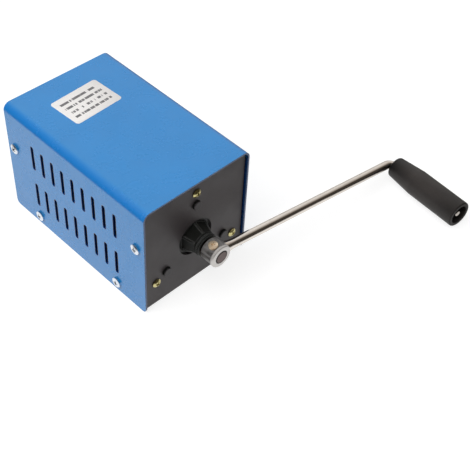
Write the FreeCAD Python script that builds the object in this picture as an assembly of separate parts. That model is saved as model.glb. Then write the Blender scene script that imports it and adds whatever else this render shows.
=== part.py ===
import FreeCAD
import Part
import math
import os

# Hand crank generator: a blue folded cover over a black folded chassis. A crank outside the
# front plate turns a two-stage planetary step-up gearbox, and that turns a small generator.
# Frame: +Z up, Y along the case, front plate towards -Y. The origin is the centre of the base.
# Units are millimetres.

V = FreeCAD.Vector

# Case
CASE_WIDTH = 80.0
CASE_LENGTH = 125.0
CASE_HEIGHT = 80.0
COVER_SHEET = 1.2
COVER_BEND = 4.8
COVER_FOOT_CORNER = 3.0
CHASSIS_SHEET = 1.5
CHASSIS_BEND = 2.0
CHASSIS_GAP = 0.2
PLATE_INSET = 1.5
FLANGE_DEPTH = 12.0
BASE_FLANGE_HEIGHT = 12.0
BASE_FLANGE_LENGTH = 92.0
END_FLANGE_Z = (14.0, 66.0)
EDGE_ROUND = 0.9

# Vent slots, two rows on each side
SLOT_WIDTH = 2.5
SLOT_LENGTH = 18.0
SLOT_PITCH = 9.36
SLOT_COUNT = 9
SLOT_ROWS_Z = (24.2, 54.0)

# Screws
M3_RADIUS = 1.48
M3_TAPPED = 1.50
M3_CLEARANCE = 1.70
HEAD_RADIUS = 2.9
HEAD_HEIGHT = 1.9
HEAD_RIM = 1.2
TRUSS_RADIUS = 3.3
TRUSS_HEIGHT = 1.7
TRUSS_RIM = 0.7
SIDE_SCREWS = ((-55.5, 50.0), (55.5, 50.0), (-37.0, 6.4), (37.0, 6.4))

# Main axis, shared by crank, gearbox and generator
AXIS_Z = 36.0
THIRDS = (90.0, 210.0, 330.0)
SIXTHS = (30.0, 90.0, 150.0, 210.0, 270.0, 330.0)

# Ribbed bearing boss that stands out of the front plate
HUB_HOLE_RADIUS = 12.7
BOSS_CORE_BASE = 9.3
BOSS_CORE_TOP = 6.9
BOSS_RIB_BASE = 11.3
BOSS_RIB_TOP = 7.75
BOSS_RIB_WIDTH = 1.5
BOSS_CONE_LENGTH = 8.0
COLLAR_RADIUS = 7.7
COLLAR_LENGTH = 4.0
COLLAR_GROOVE_RADIUS = 7.1
COLLAR_GROOVE_WIDTH = 0.8
PEG_CIRCLE = 26.0
PEG_RADIUS = 2.9
PEG_STAND = 1.8
EAR_CIRCLE = 35.0
EAR_RADIUS = 4.2

# Gearbox shells
BOX_RADIUS = 30.0
BOX_WALL = 2.95
FRONT_COVER_THICK = 3.0
HOUSING_LENGTH = 26.5
REAR_PLATE_THICK = 3.5
PLATE_SCREW_LENGTH = 14.0
REAR_SCREW_LENGTH = 8.0

# Planetary gears, the same tooth counts in both stages
GEAR_MODULE = 1.0
PRESSURE_ANGLE = math.radians(20.0)
SUN_TEETH = 12
PLANET_TEETH = 18
RING_TEETH = SUN_TEETH + 2 * PLANET_TEETH
ADDENDUM = 0.85
DEDENDUM = 1.1
TOOTH_THINNING = 0.10
GEAR_WIDTH = 7.0
RING_OUTER = 27.0
RING_LENGTH = 21.0
PLANET_ORBIT = 0.5 * GEAR_MODULE * (SUN_TEETH + PLANET_TEETH)
PIN_RADIUS = 2.0
RUNNING_GAP = 0.05
SEAT_GAP = 0.01
CARRIER_RADIUS = 21.0
CARRIER_THICK = 3.0
SIDE_PLAY = 0.4

# Shaft, bush and crank
SHAFT_RADIUS = 4.5
SHAFT_FLAT = 3.8
SHAFT_STAND = 0.2
BUSH_RADIUS = 6.5
BUSH_LENGTH = 14.0
CRANK_BOSS_RADIUS = 7.0
CRANK_EYE_RADIUS = 7.4
CRANK_EYE_LENGTH = 1.8
CRANK_BOSS_LENGTH = 10.5
CRANK_BOSS_GAP = 0.9
CRANK_EYE_ROUND = 0.9
ROD_RADIUS = 3.0
ROD_ROOT_RADIUS = 4.6
ROD_ROOT_END = 15.0
ARM_LENGTH = 164.1
ARM_LEAN = 1.05
SPINDLE_LEAN = 5.97
ROD_BEND = 5.0
REST_DROOP = 9.55
SET_SCREW_TURN = 114.7

# Handle on the bent end of the crank, measured from the corner where arm and spindle meet
HANDLE_START = 4.4
HANDLE_SHOULDER = 24.3
HANDLE_END = 62.0
HANDLE_NEAR_RADIUS = 7.1
HANDLE_RADIUS = 8.95
HANDLE_ROUND = 1.0
RECESS_RADIUS = 6.4
RECESS_DEPTH = 9.0
MOUTH_RADIUS = 4.2
MOUTH_DEPTH = 4.0
SPINDLE_TIP_RADIUS = 2.0
SPINDLE_TIP_END = 60.8
WASHER_RADIUS = 4.6
WASHER_THICK = 0.8

# Generator
CAN_RADIUS = 21.0
CAN_LENGTH = 60.0
CAN_WALL = 1.6
CAN_SCREW_OFFSET = 14.5
MAGNET_INNER = 16.6
MAGNET_LENGTH = 40.0
CORE_RADIUS = 16.1
CORE_LENGTH = 36.0
POLE_COUNT = 5
POLE_WIDTH = 5.0
POLE_SHOE_GAP = 2.2
POLE_SHOE_THICK = 1.8
CORE_HUB_RADIUS = 6.5
WINDING_OVERHANG = 3.0
COMMUTATOR_RADIUS = 6.0
BRUSH_SIZE = 4.0
BRUSH_GUIDE_START = 8.0
BRUSH_END = 15.0
ARMATURE_SHAFT = 2.5
END_CAP_THICK = 4.0
TERMINAL_SPACING = 6.0
TERMINAL_LENGTH = 6.0
TERMINAL_THICK = 0.8
TERMINAL_WIDTH = 4.8
TERMINAL_RISE = 9.0

# Regulator board and its sockets
BOARD_X = 56.0
BOARD_Y = 36.0
BOARD_THICK = 1.6
BOARD_STANDOFF = 5.0
BOARD_REAR_GAP = 1.5
USB_X = -12.5
USB_SIZE = (13.1, 14.0, 5.7)
USB_SHEET = 0.5
JACK_X = 13.0
JACK_SIZE = (9.0, 13.0, 11.0)
JACK_NOSE_RADIUS = 4.0
JACK_BORE = 3.1
JACK_PIN = 1.0
WIRE_RADIUS = 1.0
WIRE_BEND = 5.0

# Places that follow from the dimensions above
HALF_W = CASE_WIDTH / 2
HALF_L = CASE_LENGTH / 2
PLATE_FRONT = -HALF_L + PLATE_INSET
PLATE_BACK = PLATE_FRONT + CHASSIS_SHEET
REAR_INNER = -PLATE_BACK
REAR_OUTER = -PLATE_FRONT
CHASSIS_HALF = HALF_W - COVER_SHEET - CHASSIS_GAP
CHASSIS_TOP = CASE_HEIGHT - COVER_SHEET - CHASSIS_GAP
BOX_FRONT = PLATE_BACK + FRONT_COVER_THICK
BOX_REAR = BOX_FRONT + HOUSING_LENGTH
CAN_FRONT = BOX_REAR + REAR_PLATE_THICK
CAN_REAR = CAN_FRONT + CAN_LENGTH
CONE_FRONT = PLATE_BACK - BOSS_CONE_LENGTH
COLLAR_FRONT = CONE_FRONT - COLLAR_LENGTH
CRANK_BACK = COLLAR_FRONT - CRANK_BOSS_GAP
CRANK_FRONT = CRANK_BACK - CRANK_BOSS_LENGTH
CRANK_MID = (CRANK_BACK + CRANK_FRONT) / 2
SHAFT_FRONT = CRANK_FRONT - SHAFT_STAND
FIRST_CARRIER_Y = BOX_FRONT + SIDE_PLAY
FIRST_GEARS_Y = FIRST_CARRIER_Y + CARRIER_THICK + SIDE_PLAY
SECOND_CARRIER_Y = FIRST_GEARS_Y + GEAR_WIDTH + SIDE_PLAY
SECOND_GEARS_Y = SECOND_CARRIER_Y + CARRIER_THICK + SIDE_PLAY
SECOND_GEARS_END = SECOND_GEARS_Y + GEAR_WIDTH
BRUSH_Y = CAN_REAR - 6.0
BOARD_BOTTOM = CHASSIS_SHEET + BOARD_STANDOFF
BOARD_TOP = BOARD_BOTTOM + BOARD_THICK
BOARD_BACK = REAR_INNER - BOARD_REAR_GAP
BOARD_FRONT = BOARD_BACK - BOARD_Y
BOARD_HOLE_INSET = 4.0


# Plain solids

def box(x0, x1, y0, y1, z0, z1):
    return Part.makeBox(x1 - x0, y1 - y0, z1 - z0, V(x0, y0, z0))


def rod_x(radius, x0, x1, y, z):
    return Part.makeCylinder(radius, x1 - x0, V(x0, y, z), V(1, 0, 0))


def rod_y(radius, y0, y1, x=0.0, z=AXIS_Z):
    return Part.makeCylinder(radius, y1 - y0, V(x, y0, z), V(0, 1, 0))


def rod_z(radius, z0, z1, x, y):
    return Part.makeCylinder(radius, z1 - z0, V(x, y, z0), V(0, 0, 1))


def tube_y(outer, inner, y0, y1, x=0.0, z=AXIS_Z):
    return rod_y(outer, y0, y1, x, z).cut(rod_y(inner, y0 - 1, y1 + 1, x, z))


def on_circle(radius, degrees):
    """x and z of a point on a circle round the main axis, from +X towards +Z."""
    a = math.radians(degrees)
    return radius * math.cos(a), AXIS_Z + radius * math.sin(a)


def turned(points):
    """A solid turned round the main axis from an outline of (radius, y) points."""
    corners = [V(r, y, AXIS_Z) for r, y in points]
    outline = Part.makePolygon(corners + corners[:1])
    return Part.Face(outline).revolve(V(0, 0, AXIS_Z), V(0, 1, 0), 360)


def joined(shapes):
    return shapes[0].multiFuse(shapes[1:]).removeSplitter()


def rounded_wire(corners, radii, place):
    """A closed outline with arcs at its corners. place turns each flat (a, b) into a point."""
    edges = []
    ends = []
    count = len(corners)
    for i in range(count):
        before = FreeCAD.Vector(*corners[i - 1], 0)
        here = FreeCAD.Vector(*corners[i], 0)
        after = FreeCAD.Vector(*corners[(i + 1) % count], 0)
        back = (before - here).normalize()
        ahead = (after - here).normalize()
        half = back.getAngle(ahead) / 2
        if radii[i] == 0:
            ends.append((here, here, here))
            continue
        reach = radii[i] / math.tan(half)
        centre = here + (back + ahead).normalize() * (radii[i] / math.sin(half))
        middle = centre + (here - centre).normalize() * radii[i]
        ends.append((here + back * reach, middle, here + ahead * reach))
    for i in range(count):
        start, middle, stop = [place(p.x, p.y) for p in ends[i]]
        if radii[i] > 0:
            edges.append(Part.Arc(start, middle, stop).toShape())
        following = ends[(i + 1) % count][0]
        edges.append(Part.LineSegment(stop, place(following.x, following.y)).toShape())
    return Part.Wire(edges)


def domed_screw(length, head_radius, height, rim_height):
    """An M3 screw with a domed head along +Z: the head's underside at z = 0, the shank below."""
    dome_depth = height - rim_height
    crown = (head_radius ** 2 + dome_depth ** 2) / (2 * dome_depth)
    mid_r = head_radius * 0.6
    mid_z = height - crown + math.sqrt(crown ** 2 - mid_r ** 2)
    rim = V(head_radius, 0, rim_height)
    top = V(0, 0, height)
    edges = [
        Part.LineSegment(V(0, 0, -length), V(M3_RADIUS, 0, -length)).toShape(),
        Part.LineSegment(V(M3_RADIUS, 0, -length), V(M3_RADIUS, 0, 0)).toShape(),
        Part.LineSegment(V(M3_RADIUS, 0, 0), V(head_radius, 0, 0)).toShape(),
        Part.LineSegment(V(head_radius, 0, 0), rim).toShape(),
        Part.Arc(rim, V(mid_r, 0, mid_z), top).toShape(),
        Part.LineSegment(top, V(0, 0, -length)).toShape(),
    ]
    return Part.Face(Part.Wire(edges)).revolve(V(0, 0, 0), V(0, 0, 1), 360)


def pan_screw(length):
    return domed_screw(length, HEAD_RADIUS, HEAD_HEIGHT, HEAD_RIM)


def inner_screw(length):
    """A screw out of sight inside the case, with a plain round head."""
    head = Part.makeCylinder(HEAD_RADIUS, HEAD_HEIGHT)
    return joined([head, Part.makeCylinder(M3_RADIUS, length, V(0, 0, -length))])


def placed(shape, position, direction):
    """A copy of a shape drawn along +Z, moved to position with +Z turned to direction."""
    copy = shape.copy()
    copy.Placement = FreeCAD.Placement(position, FreeCAD.Rotation(V(0, 0, 1), direction))
    return copy


# Case

def cover():
    """Top and two sides in one folded sheet, open at the front, the back and below."""
    inner_half = HALF_W - COVER_SHEET
    inner_bend = COVER_BEND - COVER_SHEET
    section = [
        (-HALF_W, 0), (-HALF_W, CASE_HEIGHT), (HALF_W, CASE_HEIGHT), (HALF_W, 0),
        (inner_half, 0), (inner_half, CASE_HEIGHT - COVER_SHEET),
        (-inner_half, CASE_HEIGHT - COVER_SHEET), (-inner_half, 0),
    ]
    bends = [0, COVER_BEND, COVER_BEND, 0, 0, inner_bend, inner_bend, 0]
    wire = rounded_wire(section, bends, lambda a, b: V(a, -HALF_L, b))
    folded = Part.Face(wire).extrude(V(0, CASE_LENGTH, 0))
    side = [(-HALF_L, 0), (HALF_L, 0), (HALF_L, CASE_HEIGHT), (-HALF_L, CASE_HEIGHT)]
    corners = [COVER_FOOT_CORNER, COVER_FOOT_CORNER, 0, 0]
    mask = Part.Face(rounded_wire(side, corners, lambda a, b: V(-HALF_W - 1, a, b)))
    folded = folded.common(mask.extrude(V(CASE_WIDTH + 2, 0, 0)))
    holes = [vent_slot(i, z) for i in range(SLOT_COUNT) for z in SLOT_ROWS_Z]
    holes += [rod_x(M3_CLEARANCE, -HALF_W - 1, HALF_W + 1, y, z) for y, z in SIDE_SCREWS]
    return folded.cut(Part.makeCompound(holes))


def vent_slot(index, z):
    """One slot, cut through both sides of the cover at once."""
    y = (index - (SLOT_COUNT - 1) / 2) * SLOT_PITCH
    w = SLOT_WIDTH / 2
    h = SLOT_LENGTH / 2
    outline = [(y - w, z - h), (y + w, z - h), (y + w, z + h), (y - w, z + h)]
    wire = rounded_wire(outline, [w * 0.98] * 4, lambda a, b: V(-HALF_W - 1, a, b))
    return Part.Face(wire).extrude(V(CASE_WIDTH + 2, 0, 0))


def chassis():
    """Front plate, base and rear plate in one folded sheet, with flanges that take the screws."""
    t = CHASSIS_SHEET
    top = CHASSIS_TOP
    section = [
        (PLATE_FRONT, top), (PLATE_FRONT, 0), (REAR_OUTER, 0), (REAR_OUTER, top),
        (REAR_INNER, top), (REAR_INNER, t), (PLATE_BACK, t), (PLATE_BACK, top),
    ]
    inner_bend = CHASSIS_BEND - t
    bends = [0, CHASSIS_BEND, CHASSIS_BEND, 0, 0, inner_bend, inner_bend, 0]
    wire = rounded_wire(section, bends, lambda a, b: V(-CHASSIS_HALF, a, b))
    tray = Part.Face(wire).extrude(V(2 * CHASSIS_HALF, 0, 0))
    shoulder = COVER_BEND - COVER_SHEET - CHASSIS_GAP
    face = [(-CHASSIS_HALF, 0), (CHASSIS_HALF, 0), (CHASSIS_HALF, top), (-CHASSIS_HALF, top)]
    mask_wire = rounded_wire(face, [0, 0, shoulder, shoulder], lambda a, b: V(a, -HALF_L, b))
    tray = tray.common(Part.Face(mask_wire).extrude(V(0, CASE_LENGTH, 0)))
    flanges = []
    for side in (-1, 1):
        x0, x1 = sorted((side * CHASSIS_HALF, side * (CHASSIS_HALF - t)))
        half = BASE_FLANGE_LENGTH / 2
        flanges.append(box(x0, x1, -half, half, 0, BASE_FLANGE_HEIGHT))
        low, high = END_FLANGE_Z
        flanges.append(box(x0, x1, PLATE_FRONT, PLATE_BACK + FLANGE_DEPTH, low, high))
        flanges.append(box(x0, x1, REAR_INNER - FLANGE_DEPTH, REAR_OUTER, low, high))
    body = joined([tray] + flanges)
    body = body.makeFillet(EDGE_ROUND, long_plate_edges(body))
    return body.cut(Part.makeCompound(chassis_holes()))


def long_plate_edges(body):
    """The four upright outer edges where the flanges fold back from the two plates."""
    found = []
    for edge in body.Edges:
        bounds = edge.BoundBox
        upright = bounds.ZLength > 50 and bounds.XLength < 0.01 and bounds.YLength < 0.01
        at_side = abs(abs(bounds.XMin) - CHASSIS_HALF) < 0.01
        at_end = abs(abs(bounds.YMin) - REAR_OUTER) < 0.01
        if upright and at_side and at_end:
            found.append(edge)
    return found


def chassis_holes():
    front = PLATE_FRONT - 1
    back = PLATE_BACK + 1
    holes = [rod_y(HUB_HOLE_RADIUS, front, back)]
    for degrees in THIRDS:
        holes.append(rod_y(M3_CLEARANCE, front, back, *on_circle(EAR_CIRCLE, degrees)))
        holes.append(rod_y(PEG_RADIUS + 0.15, front, back, *on_circle(PEG_CIRCLE, degrees)))
    for y, z in SIDE_SCREWS:
        holes.append(rod_x(M3_TAPPED, -HALF_W, HALF_W, y, z))
    gap = 0.3
    width, _, height = USB_SIZE
    holes.append(box(USB_X - width / 2 - gap, USB_X + width / 2 + gap, REAR_INNER - 1,
                     REAR_OUTER + 1, BOARD_TOP - gap, BOARD_TOP + height + gap))
    jack_z = BOARD_TOP + JACK_SIZE[2] / 2
    holes.append(rod_y(JACK_NOSE_RADIUS + gap, REAR_INNER - 1, REAR_OUTER + 1, JACK_X, jack_z))
    return holes


def cover_screws():
    """Four screws on each side, through the cover into the chassis flanges."""
    screw = domed_screw(6.0, TRUSS_RADIUS, TRUSS_HEIGHT, TRUSS_RIM)
    left = [placed(screw, V(-HALF_W, y, z), V(-1, 0, 0)) for y, z in SIDE_SCREWS]
    right = [placed(screw, V(HALF_W, y, z), V(1, 0, 0)) for y, z in SIDE_SCREWS]
    return Part.makeCompound(left + right)


# Gearbox shells

def eared_disc(y0, y1, hole_radius):
    """A disc with three rounded ears, drilled for the screws at the ears."""
    shapes = [rod_y(BOX_RADIUS, y0, y1)]
    holes = []
    for degrees in THIRDS:
        x, z = on_circle(EAR_CIRCLE, degrees)
        shapes.append(rod_y(EAR_RADIUS, y0, y1, x, z))
        neck = box(BOX_RADIUS - 5, EAR_CIRCLE, y0, y1, AXIS_Z - EAR_RADIUS, AXIS_Z + EAR_RADIUS)
        neck.rotate(V(0, 0, AXIS_Z), V(0, 1, 0), -degrees)
        shapes.append(neck)
        holes.append(rod_y(hole_radius, y0 - 1, y1 + 1, x, z))
    return joined(shapes).cut(Part.makeCompound(holes))


def gearbox_front_cover():
    """Flange behind the front plate, with a six-ribbed conical boss and a collar in front."""
    shapes = [eared_disc(PLATE_BACK, BOX_FRONT, M3_CLEARANCE), boss_core(), boss_collar()]
    shapes += [boss_rib(degrees) for degrees in SIXTHS]
    for degrees in THIRDS:
        x, z = on_circle(PEG_CIRCLE, degrees)
        peg = rod_y(PEG_RADIUS, PLATE_FRONT - PEG_STAND, PLATE_BACK + 1, x, z)
        front = [e for e in peg.Edges if e.BoundBox.YMax < PLATE_FRONT - PEG_STAND + 0.01]
        shapes.append(peg.makeFillet(0.4, front))
    return joined(shapes).cut(rod_y(BUSH_RADIUS + SEAT_GAP, COLLAR_FRONT - 1, BOX_FRONT + 1))


def hexagon(flat_radius, y):
    corner = flat_radius / math.cos(math.pi / 6)
    points = []
    for degrees in SIXTHS:
        x, z = on_circle(corner, degrees)
        points.append(V(x, y, z))
    return Part.makePolygon(points + points[:1])


def boss_core():
    """Six flat facets that lean in from the plate to the collar."""
    wires = [hexagon(BOSS_CORE_BASE, PLATE_BACK), hexagon(BOSS_CORE_TOP, CONE_FRONT)]
    return Part.makeLoft(wires, True, True)


def boss_rib(degrees):
    """One straight rib along a corner of the boss, from the plate to the collar."""
    half = BOSS_RIB_WIDTH / 2
    inner = BUSH_RADIUS
    outline = Part.makePolygon([
        V(inner, PLATE_BACK, AXIS_Z - half), V(BOSS_RIB_BASE, PLATE_BACK, AXIS_Z - half),
        V(BOSS_RIB_TOP, CONE_FRONT, AXIS_Z - half), V(inner, CONE_FRONT, AXIS_Z - half),
        V(inner, PLATE_BACK, AXIS_Z - half),
    ])
    rib = Part.Face(outline).extrude(V(0, 0, BOSS_RIB_WIDTH))
    rib.rotate(V(0, 0, AXIS_Z), V(0, 1, 0), -degrees)
    return rib


def boss_collar():
    """Turned collar with one shallow groove, which holds the front end of the bush."""
    groove_back = CONE_FRONT - COLLAR_LENGTH * 0.4
    groove_front = groove_back - COLLAR_GROOVE_WIDTH
    edge = 0.3
    return turned([
        (0, CONE_FRONT), (COLLAR_RADIUS, CONE_FRONT), (COLLAR_RADIUS, groove_back),
        (COLLAR_GROOVE_RADIUS, groove_back), (COLLAR_GROOVE_RADIUS, groove_front),
        (COLLAR_RADIUS, groove_front), (COLLAR_RADIUS, COLLAR_FRONT + edge),
        (COLLAR_RADIUS - edge, COLLAR_FRONT), (0, COLLAR_FRONT),
    ])


def gearbox_housing():
    """Open tube with three ears that take screws from both ends."""
    shell = eared_disc(BOX_FRONT, BOX_REAR, M3_TAPPED)
    return shell.cut(rod_y(BOX_RADIUS - BOX_WALL, BOX_FRONT - 1, BOX_REAR + 1))


def gearbox_rear_plate():
    """Closes the housing and carries the generator."""
    plate = eared_disc(BOX_REAR, CAN_FRONT, M3_CLEARANCE)
    holes = [rod_y(ARMATURE_SHAFT * 2, BOX_REAR - 1, CAN_FRONT + 1)]
    for x in (-CAN_SCREW_OFFSET, CAN_SCREW_OFFSET):
        holes.append(rod_y(M3_CLEARANCE, BOX_REAR - 1, CAN_FRONT + 1, x))
    return plate.cut(Part.makeCompound(holes))


def plate_screws():
    """Three screws through the front plate and the cover into the housing's ears."""
    screw = pan_screw(PLATE_SCREW_LENGTH)
    places = [on_circle(EAR_CIRCLE, degrees) for degrees in THIRDS]
    return Part.makeCompound([placed(screw, V(x, PLATE_FRONT, z), V(0, -1, 0)) for x, z in places])


def gearbox_rear_screws():
    screw = inner_screw(REAR_SCREW_LENGTH)
    places = [on_circle(EAR_CIRCLE, degrees) for degrees in THIRDS]
    return Part.makeCompound([placed(screw, V(x, CAN_FRONT, z), V(0, 1, 0)) for x, z in places])


def front_bush():
    """Sintered bush pressed in the boss, level with the collar's face."""
    bore = SHAFT_RADIUS + RUNNING_GAP
    back = COLLAR_FRONT + BUSH_LENGTH
    return tube_y(BUSH_RADIUS, bore, COLLAR_FRONT, back)


# Gears

def involute_angle(radius, base):
    """Angle by which an involute from the base circle has turned when it reaches radius."""
    a = math.acos(min(1.0, base / radius))
    return math.tan(a) - a


def gear_outline(teeth, tip, root, thinning, y):
    """Closed gear outline round the main axis, one tooth centred on +X."""
    pitch = GEAR_MODULE * teeth / 2
    base = pitch * math.cos(PRESSURE_ANGLE)
    half_at_pitch = math.pi / (2 * teeth) - thinning / (2 * pitch)
    half_at_base = half_at_pitch + math.tan(PRESSURE_ANGLE) - PRESSURE_ANGLE
    foot = max(base, root)
    radii = (foot, (foot + tip) / 2, tip)
    flank = [(r, half_at_base - involute_angle(r, base)) for r in radii]
    root_half = flank[0][1]
    step = 2 * math.pi / teeth
    edges = []

    def at(radius, angle):
        return V(radius * math.cos(angle), y, AXIS_Z + radius * math.sin(angle))

    for i in range(teeth):
        centre = i * step
        rising = [at(r, centre - a) for r, a in flank]
        falling = [at(r, centre + a) for r, a in reversed(flank)]
        if foot > root:
            edges.append(Part.LineSegment(at(root, centre - root_half), rising[0]).toShape())
        edges.append(Part.Arc(*rising).toShape())
        edges.append(Part.Arc(rising[2], at(tip, centre), falling[0]).toShape())
        edges.append(Part.Arc(*falling).toShape())
        if foot > root:
            edges.append(Part.LineSegment(falling[2], at(root, centre + root_half)).toShape())
        valley = (at(root, centre + root_half), at(root, centre + step / 2),
                  at(root, centre + step - root_half))
        edges.append(Part.Arc(*valley).toShape())
    return Part.Wire(edges)


def external_gear(teeth, y0, width):
    pitch = GEAR_MODULE * teeth / 2
    wire = gear_outline(teeth, pitch + ADDENDUM, pitch - DEDENDUM, TOOTH_THINNING, y0)
    return Part.Face(wire).extrude(V(0, width, 0))


def ring_gear():
    """Inner teeth for both stages, cut by the outline of a gear that fills the gap."""
    pitch = GEAR_MODULE * RING_TEETH / 2
    y0 = FIRST_GEARS_Y - (RING_LENGTH - (SECOND_GEARS_END - FIRST_GEARS_Y)) / 2
    wire = gear_outline(RING_TEETH, pitch + DEDENDUM, pitch - ADDENDUM, -TOOTH_THINNING, y0 - 1)
    space = Part.Face(wire).extrude(V(0, RING_LENGTH + 2, 0))
    half_tooth = 180.0 / RING_TEETH
    space.rotate(V(0, 0, AXIS_Z), V(0, 1, 0), half_tooth)
    return rod_y(RING_OUTER, y0, y0 + RING_LENGTH).cut(space)


def planet_gear(y0, orbit_degrees):
    """A planet on its pin, turned so that a gap meets the sun's tooth."""
    gear = external_gear(PLANET_TEETH, y0, GEAR_WIDTH)
    gear = gear.cut(rod_y(PIN_RADIUS + RUNNING_GAP, y0 - 1, y0 + GEAR_WIDTH + 1))
    sun_phase = orbit_degrees * SUN_TEETH / 360.0
    planet_phase = 0.5 - sun_phase
    turn = orbit_degrees + 180.0 - planet_phase * 360.0 / PLANET_TEETH
    gear.rotate(V(0, 0, AXIS_Z), V(0, 1, 0), -turn)
    x, z = on_circle(PLANET_ORBIT, orbit_degrees)
    gear.translate(V(x, 0, z - AXIS_Z))
    return gear


def carrier_disc(y0):
    """A carrier plate with three holes for the planets' pins."""
    disc = rod_y(CARRIER_RADIUS, y0, y0 + CARRIER_THICK)
    holes = []
    for degrees in THIRDS:
        x, z = on_circle(PLANET_ORBIT, degrees)
        holes.append(rod_y(PIN_RADIUS + SEAT_GAP, y0 - 1, y0 + CARRIER_THICK + 1, x, z))
    return disc.cut(Part.makeCompound(holes))


def planet_pins(carrier_y):
    """Three pins pressed in a carrier, each long enough for its planet."""
    end = carrier_y + CARRIER_THICK + SIDE_PLAY + GEAR_WIDTH + SIDE_PLAY / 2
    places = [on_circle(PLANET_ORBIT, degrees) for degrees in THIRDS]
    return Part.makeCompound([rod_y(PIN_RADIUS, carrier_y, end, x, z) for x, z in places])


def input_carrier():
    bore = rod_y(SHAFT_RADIUS + SEAT_GAP, FIRST_CARRIER_Y - 1, FIRST_GEARS_Y + 1)
    return carrier_disc(FIRST_CARRIER_Y).cut(bore)


def output_carrier():
    """Second carrier in one piece with the first stage's sun gear and its pilot pin."""
    sun = external_gear(SUN_TEETH, FIRST_GEARS_Y, SECOND_CARRIER_Y - FIRST_GEARS_Y)
    pilot = rod_y(PIN_RADIUS, FIRST_GEARS_Y - 5, FIRST_GEARS_Y)
    return joined([carrier_disc(SECOND_CARRIER_Y), sun, pilot])


def output_sun():
    """Second stage's sun gear, pressed on the generator shaft."""
    gear = external_gear(SUN_TEETH, SECOND_GEARS_Y, GEAR_WIDTH)
    bore = rod_y(ARMATURE_SHAFT + SEAT_GAP, SECOND_GEARS_Y - 1, SECOND_GEARS_END + 1)
    return gear.cut(bore)


def input_shaft():
    """Shaft with a flat for the crank's screw and a pilot bore for the second stage."""
    end = FIRST_CARRIER_Y + CARRIER_THICK
    shaft = rod_y(SHAFT_RADIUS, SHAFT_FRONT, end)
    front = [e for e in shaft.Edges if e.BoundBox.YMax < SHAFT_FRONT + 0.01]
    shaft = shaft.makeChamfer(0.35, front)
    flat = box(-SHAFT_RADIUS, SHAFT_RADIUS, SHAFT_FRONT - 1, CRANK_BACK,
               AXIS_Z + SHAFT_FLAT, AXIS_Z + SHAFT_RADIUS + 1)
    flat.rotate(V(0, 0, AXIS_Z), V(0, 1, 0), 90.0 - SET_SCREW_TURN)
    pilot = rod_y(PIN_RADIUS + RUNNING_GAP, end - 5.5, end + 1)
    return crank_at_rest(shaft.cut(flat)).cut(pilot)


# Crank and handle, drawn with the arm along +X and then let down to its place at rest

def crank_at_rest(shape):
    shape.rotate(V(0, 0, AXIS_Z), V(0, 1, 0), REST_DROOP)
    return shape


def arm_frame():
    """Corner where arm and spindle meet, and the directions of the arm and of the spindle."""
    lean = math.radians(ARM_LEAN)
    arm = V(math.cos(lean), -math.sin(lean), 0)
    corner = V(0, CRANK_MID, AXIS_Z) + arm * ARM_LENGTH
    spindle = V(-math.sin(math.radians(SPINDLE_LEAN)), -math.cos(math.radians(SPINDLE_LEAN)), 0)
    return corner, arm, spindle


def bent_rod():
    """Round rod from the boss along the arm and round the bend into the handle."""
    corner, arm, spindle = arm_frame()
    turn = arm.getAngle(spindle)
    reach = ROD_BEND * math.tan(turn / 2)
    bisector = (spindle - arm).normalize()
    centre = corner + bisector * (ROD_BEND / math.cos(turn / 2))
    start = V(0, CRANK_MID, AXIS_Z) + arm * (SHAFT_RADIUS + 1)
    before = corner - arm * reach
    middle = centre - bisector * ROD_BEND
    after = corner + spindle * reach
    seat = corner + spindle * (HANDLE_END - RECESS_DEPTH)
    path = Part.Wire([
        Part.LineSegment(start, before).toShape(),
        Part.Arc(before, middle, after).toShape(),
        Part.LineSegment(after, seat).toShape(),
    ])
    section = Part.Wire(Part.Circle(start, arm, ROD_RADIUS).toShape())
    rod = path.makePipeShell([section], True, False)
    tip_length = SPINDLE_TIP_END - HANDLE_END + RECESS_DEPTH
    tip = Part.makeCylinder(SPINDLE_TIP_RADIUS, tip_length, seat, spindle)
    far = seat + spindle * tip_length
    edge = [e for e in tip.Edges if (e.BoundBox.Center - far).Length < 0.1]
    return joined([rod, tip.makeChamfer(0.3, edge)])


def rod_root():
    """Flare that carries the rod into the boss, turned round the rod's own line."""
    _, arm, _ = arm_frame()
    inner = SHAFT_RADIUS + 1
    swell = ROD_ROOT_RADIUS - ROD_RADIUS
    low = V(inner, ROD_ROOT_RADIUS, 0)
    high = V(ROD_ROOT_END, ROD_RADIUS, 0)
    sag = V((inner + ROD_ROOT_END) / 2, ROD_RADIUS + swell * 0.22, 0)
    edges = [
        Part.LineSegment(V(inner, 0, 0), low).toShape(),
        Part.Arc(low, sag, high).toShape(),
        Part.LineSegment(high, V(ROD_ROOT_END, 0, 0)).toShape(),
        Part.LineSegment(V(ROD_ROOT_END, 0, 0), V(inner, 0, 0)).toShape(),
    ]
    flare = Part.Face(Part.Wire(edges)).revolve(V(0, 0, 0), V(1, 0, 0), 360)
    turn = FreeCAD.Rotation(V(1, 0, 0), arm)
    flare.Placement = FreeCAD.Placement(V(0, CRANK_MID, AXIS_Z), turn)
    return flare


def crank_boss():
    """Turned boss with a slightly larger eye at its front, rounded at both edges."""
    step = CRANK_EYE_RADIUS - CRANK_BOSS_RADIUS
    eye_back = CRANK_FRONT + CRANK_EYE_LENGTH
    boss = turned([
        (0, CRANK_BACK), (CRANK_BOSS_RADIUS - step, CRANK_BACK), (CRANK_BOSS_RADIUS, CRANK_BACK - step),
        (CRANK_BOSS_RADIUS, eye_back + step), (CRANK_EYE_RADIUS, eye_back),
        (CRANK_EYE_RADIUS, CRANK_FRONT), (0, CRANK_FRONT),
    ])
    rim = [e for e in boss.Edges if e.BoundBox.YMax < CRANK_FRONT + 0.01]
    return boss.makeFillet(CRANK_EYE_ROUND, rim)


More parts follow.
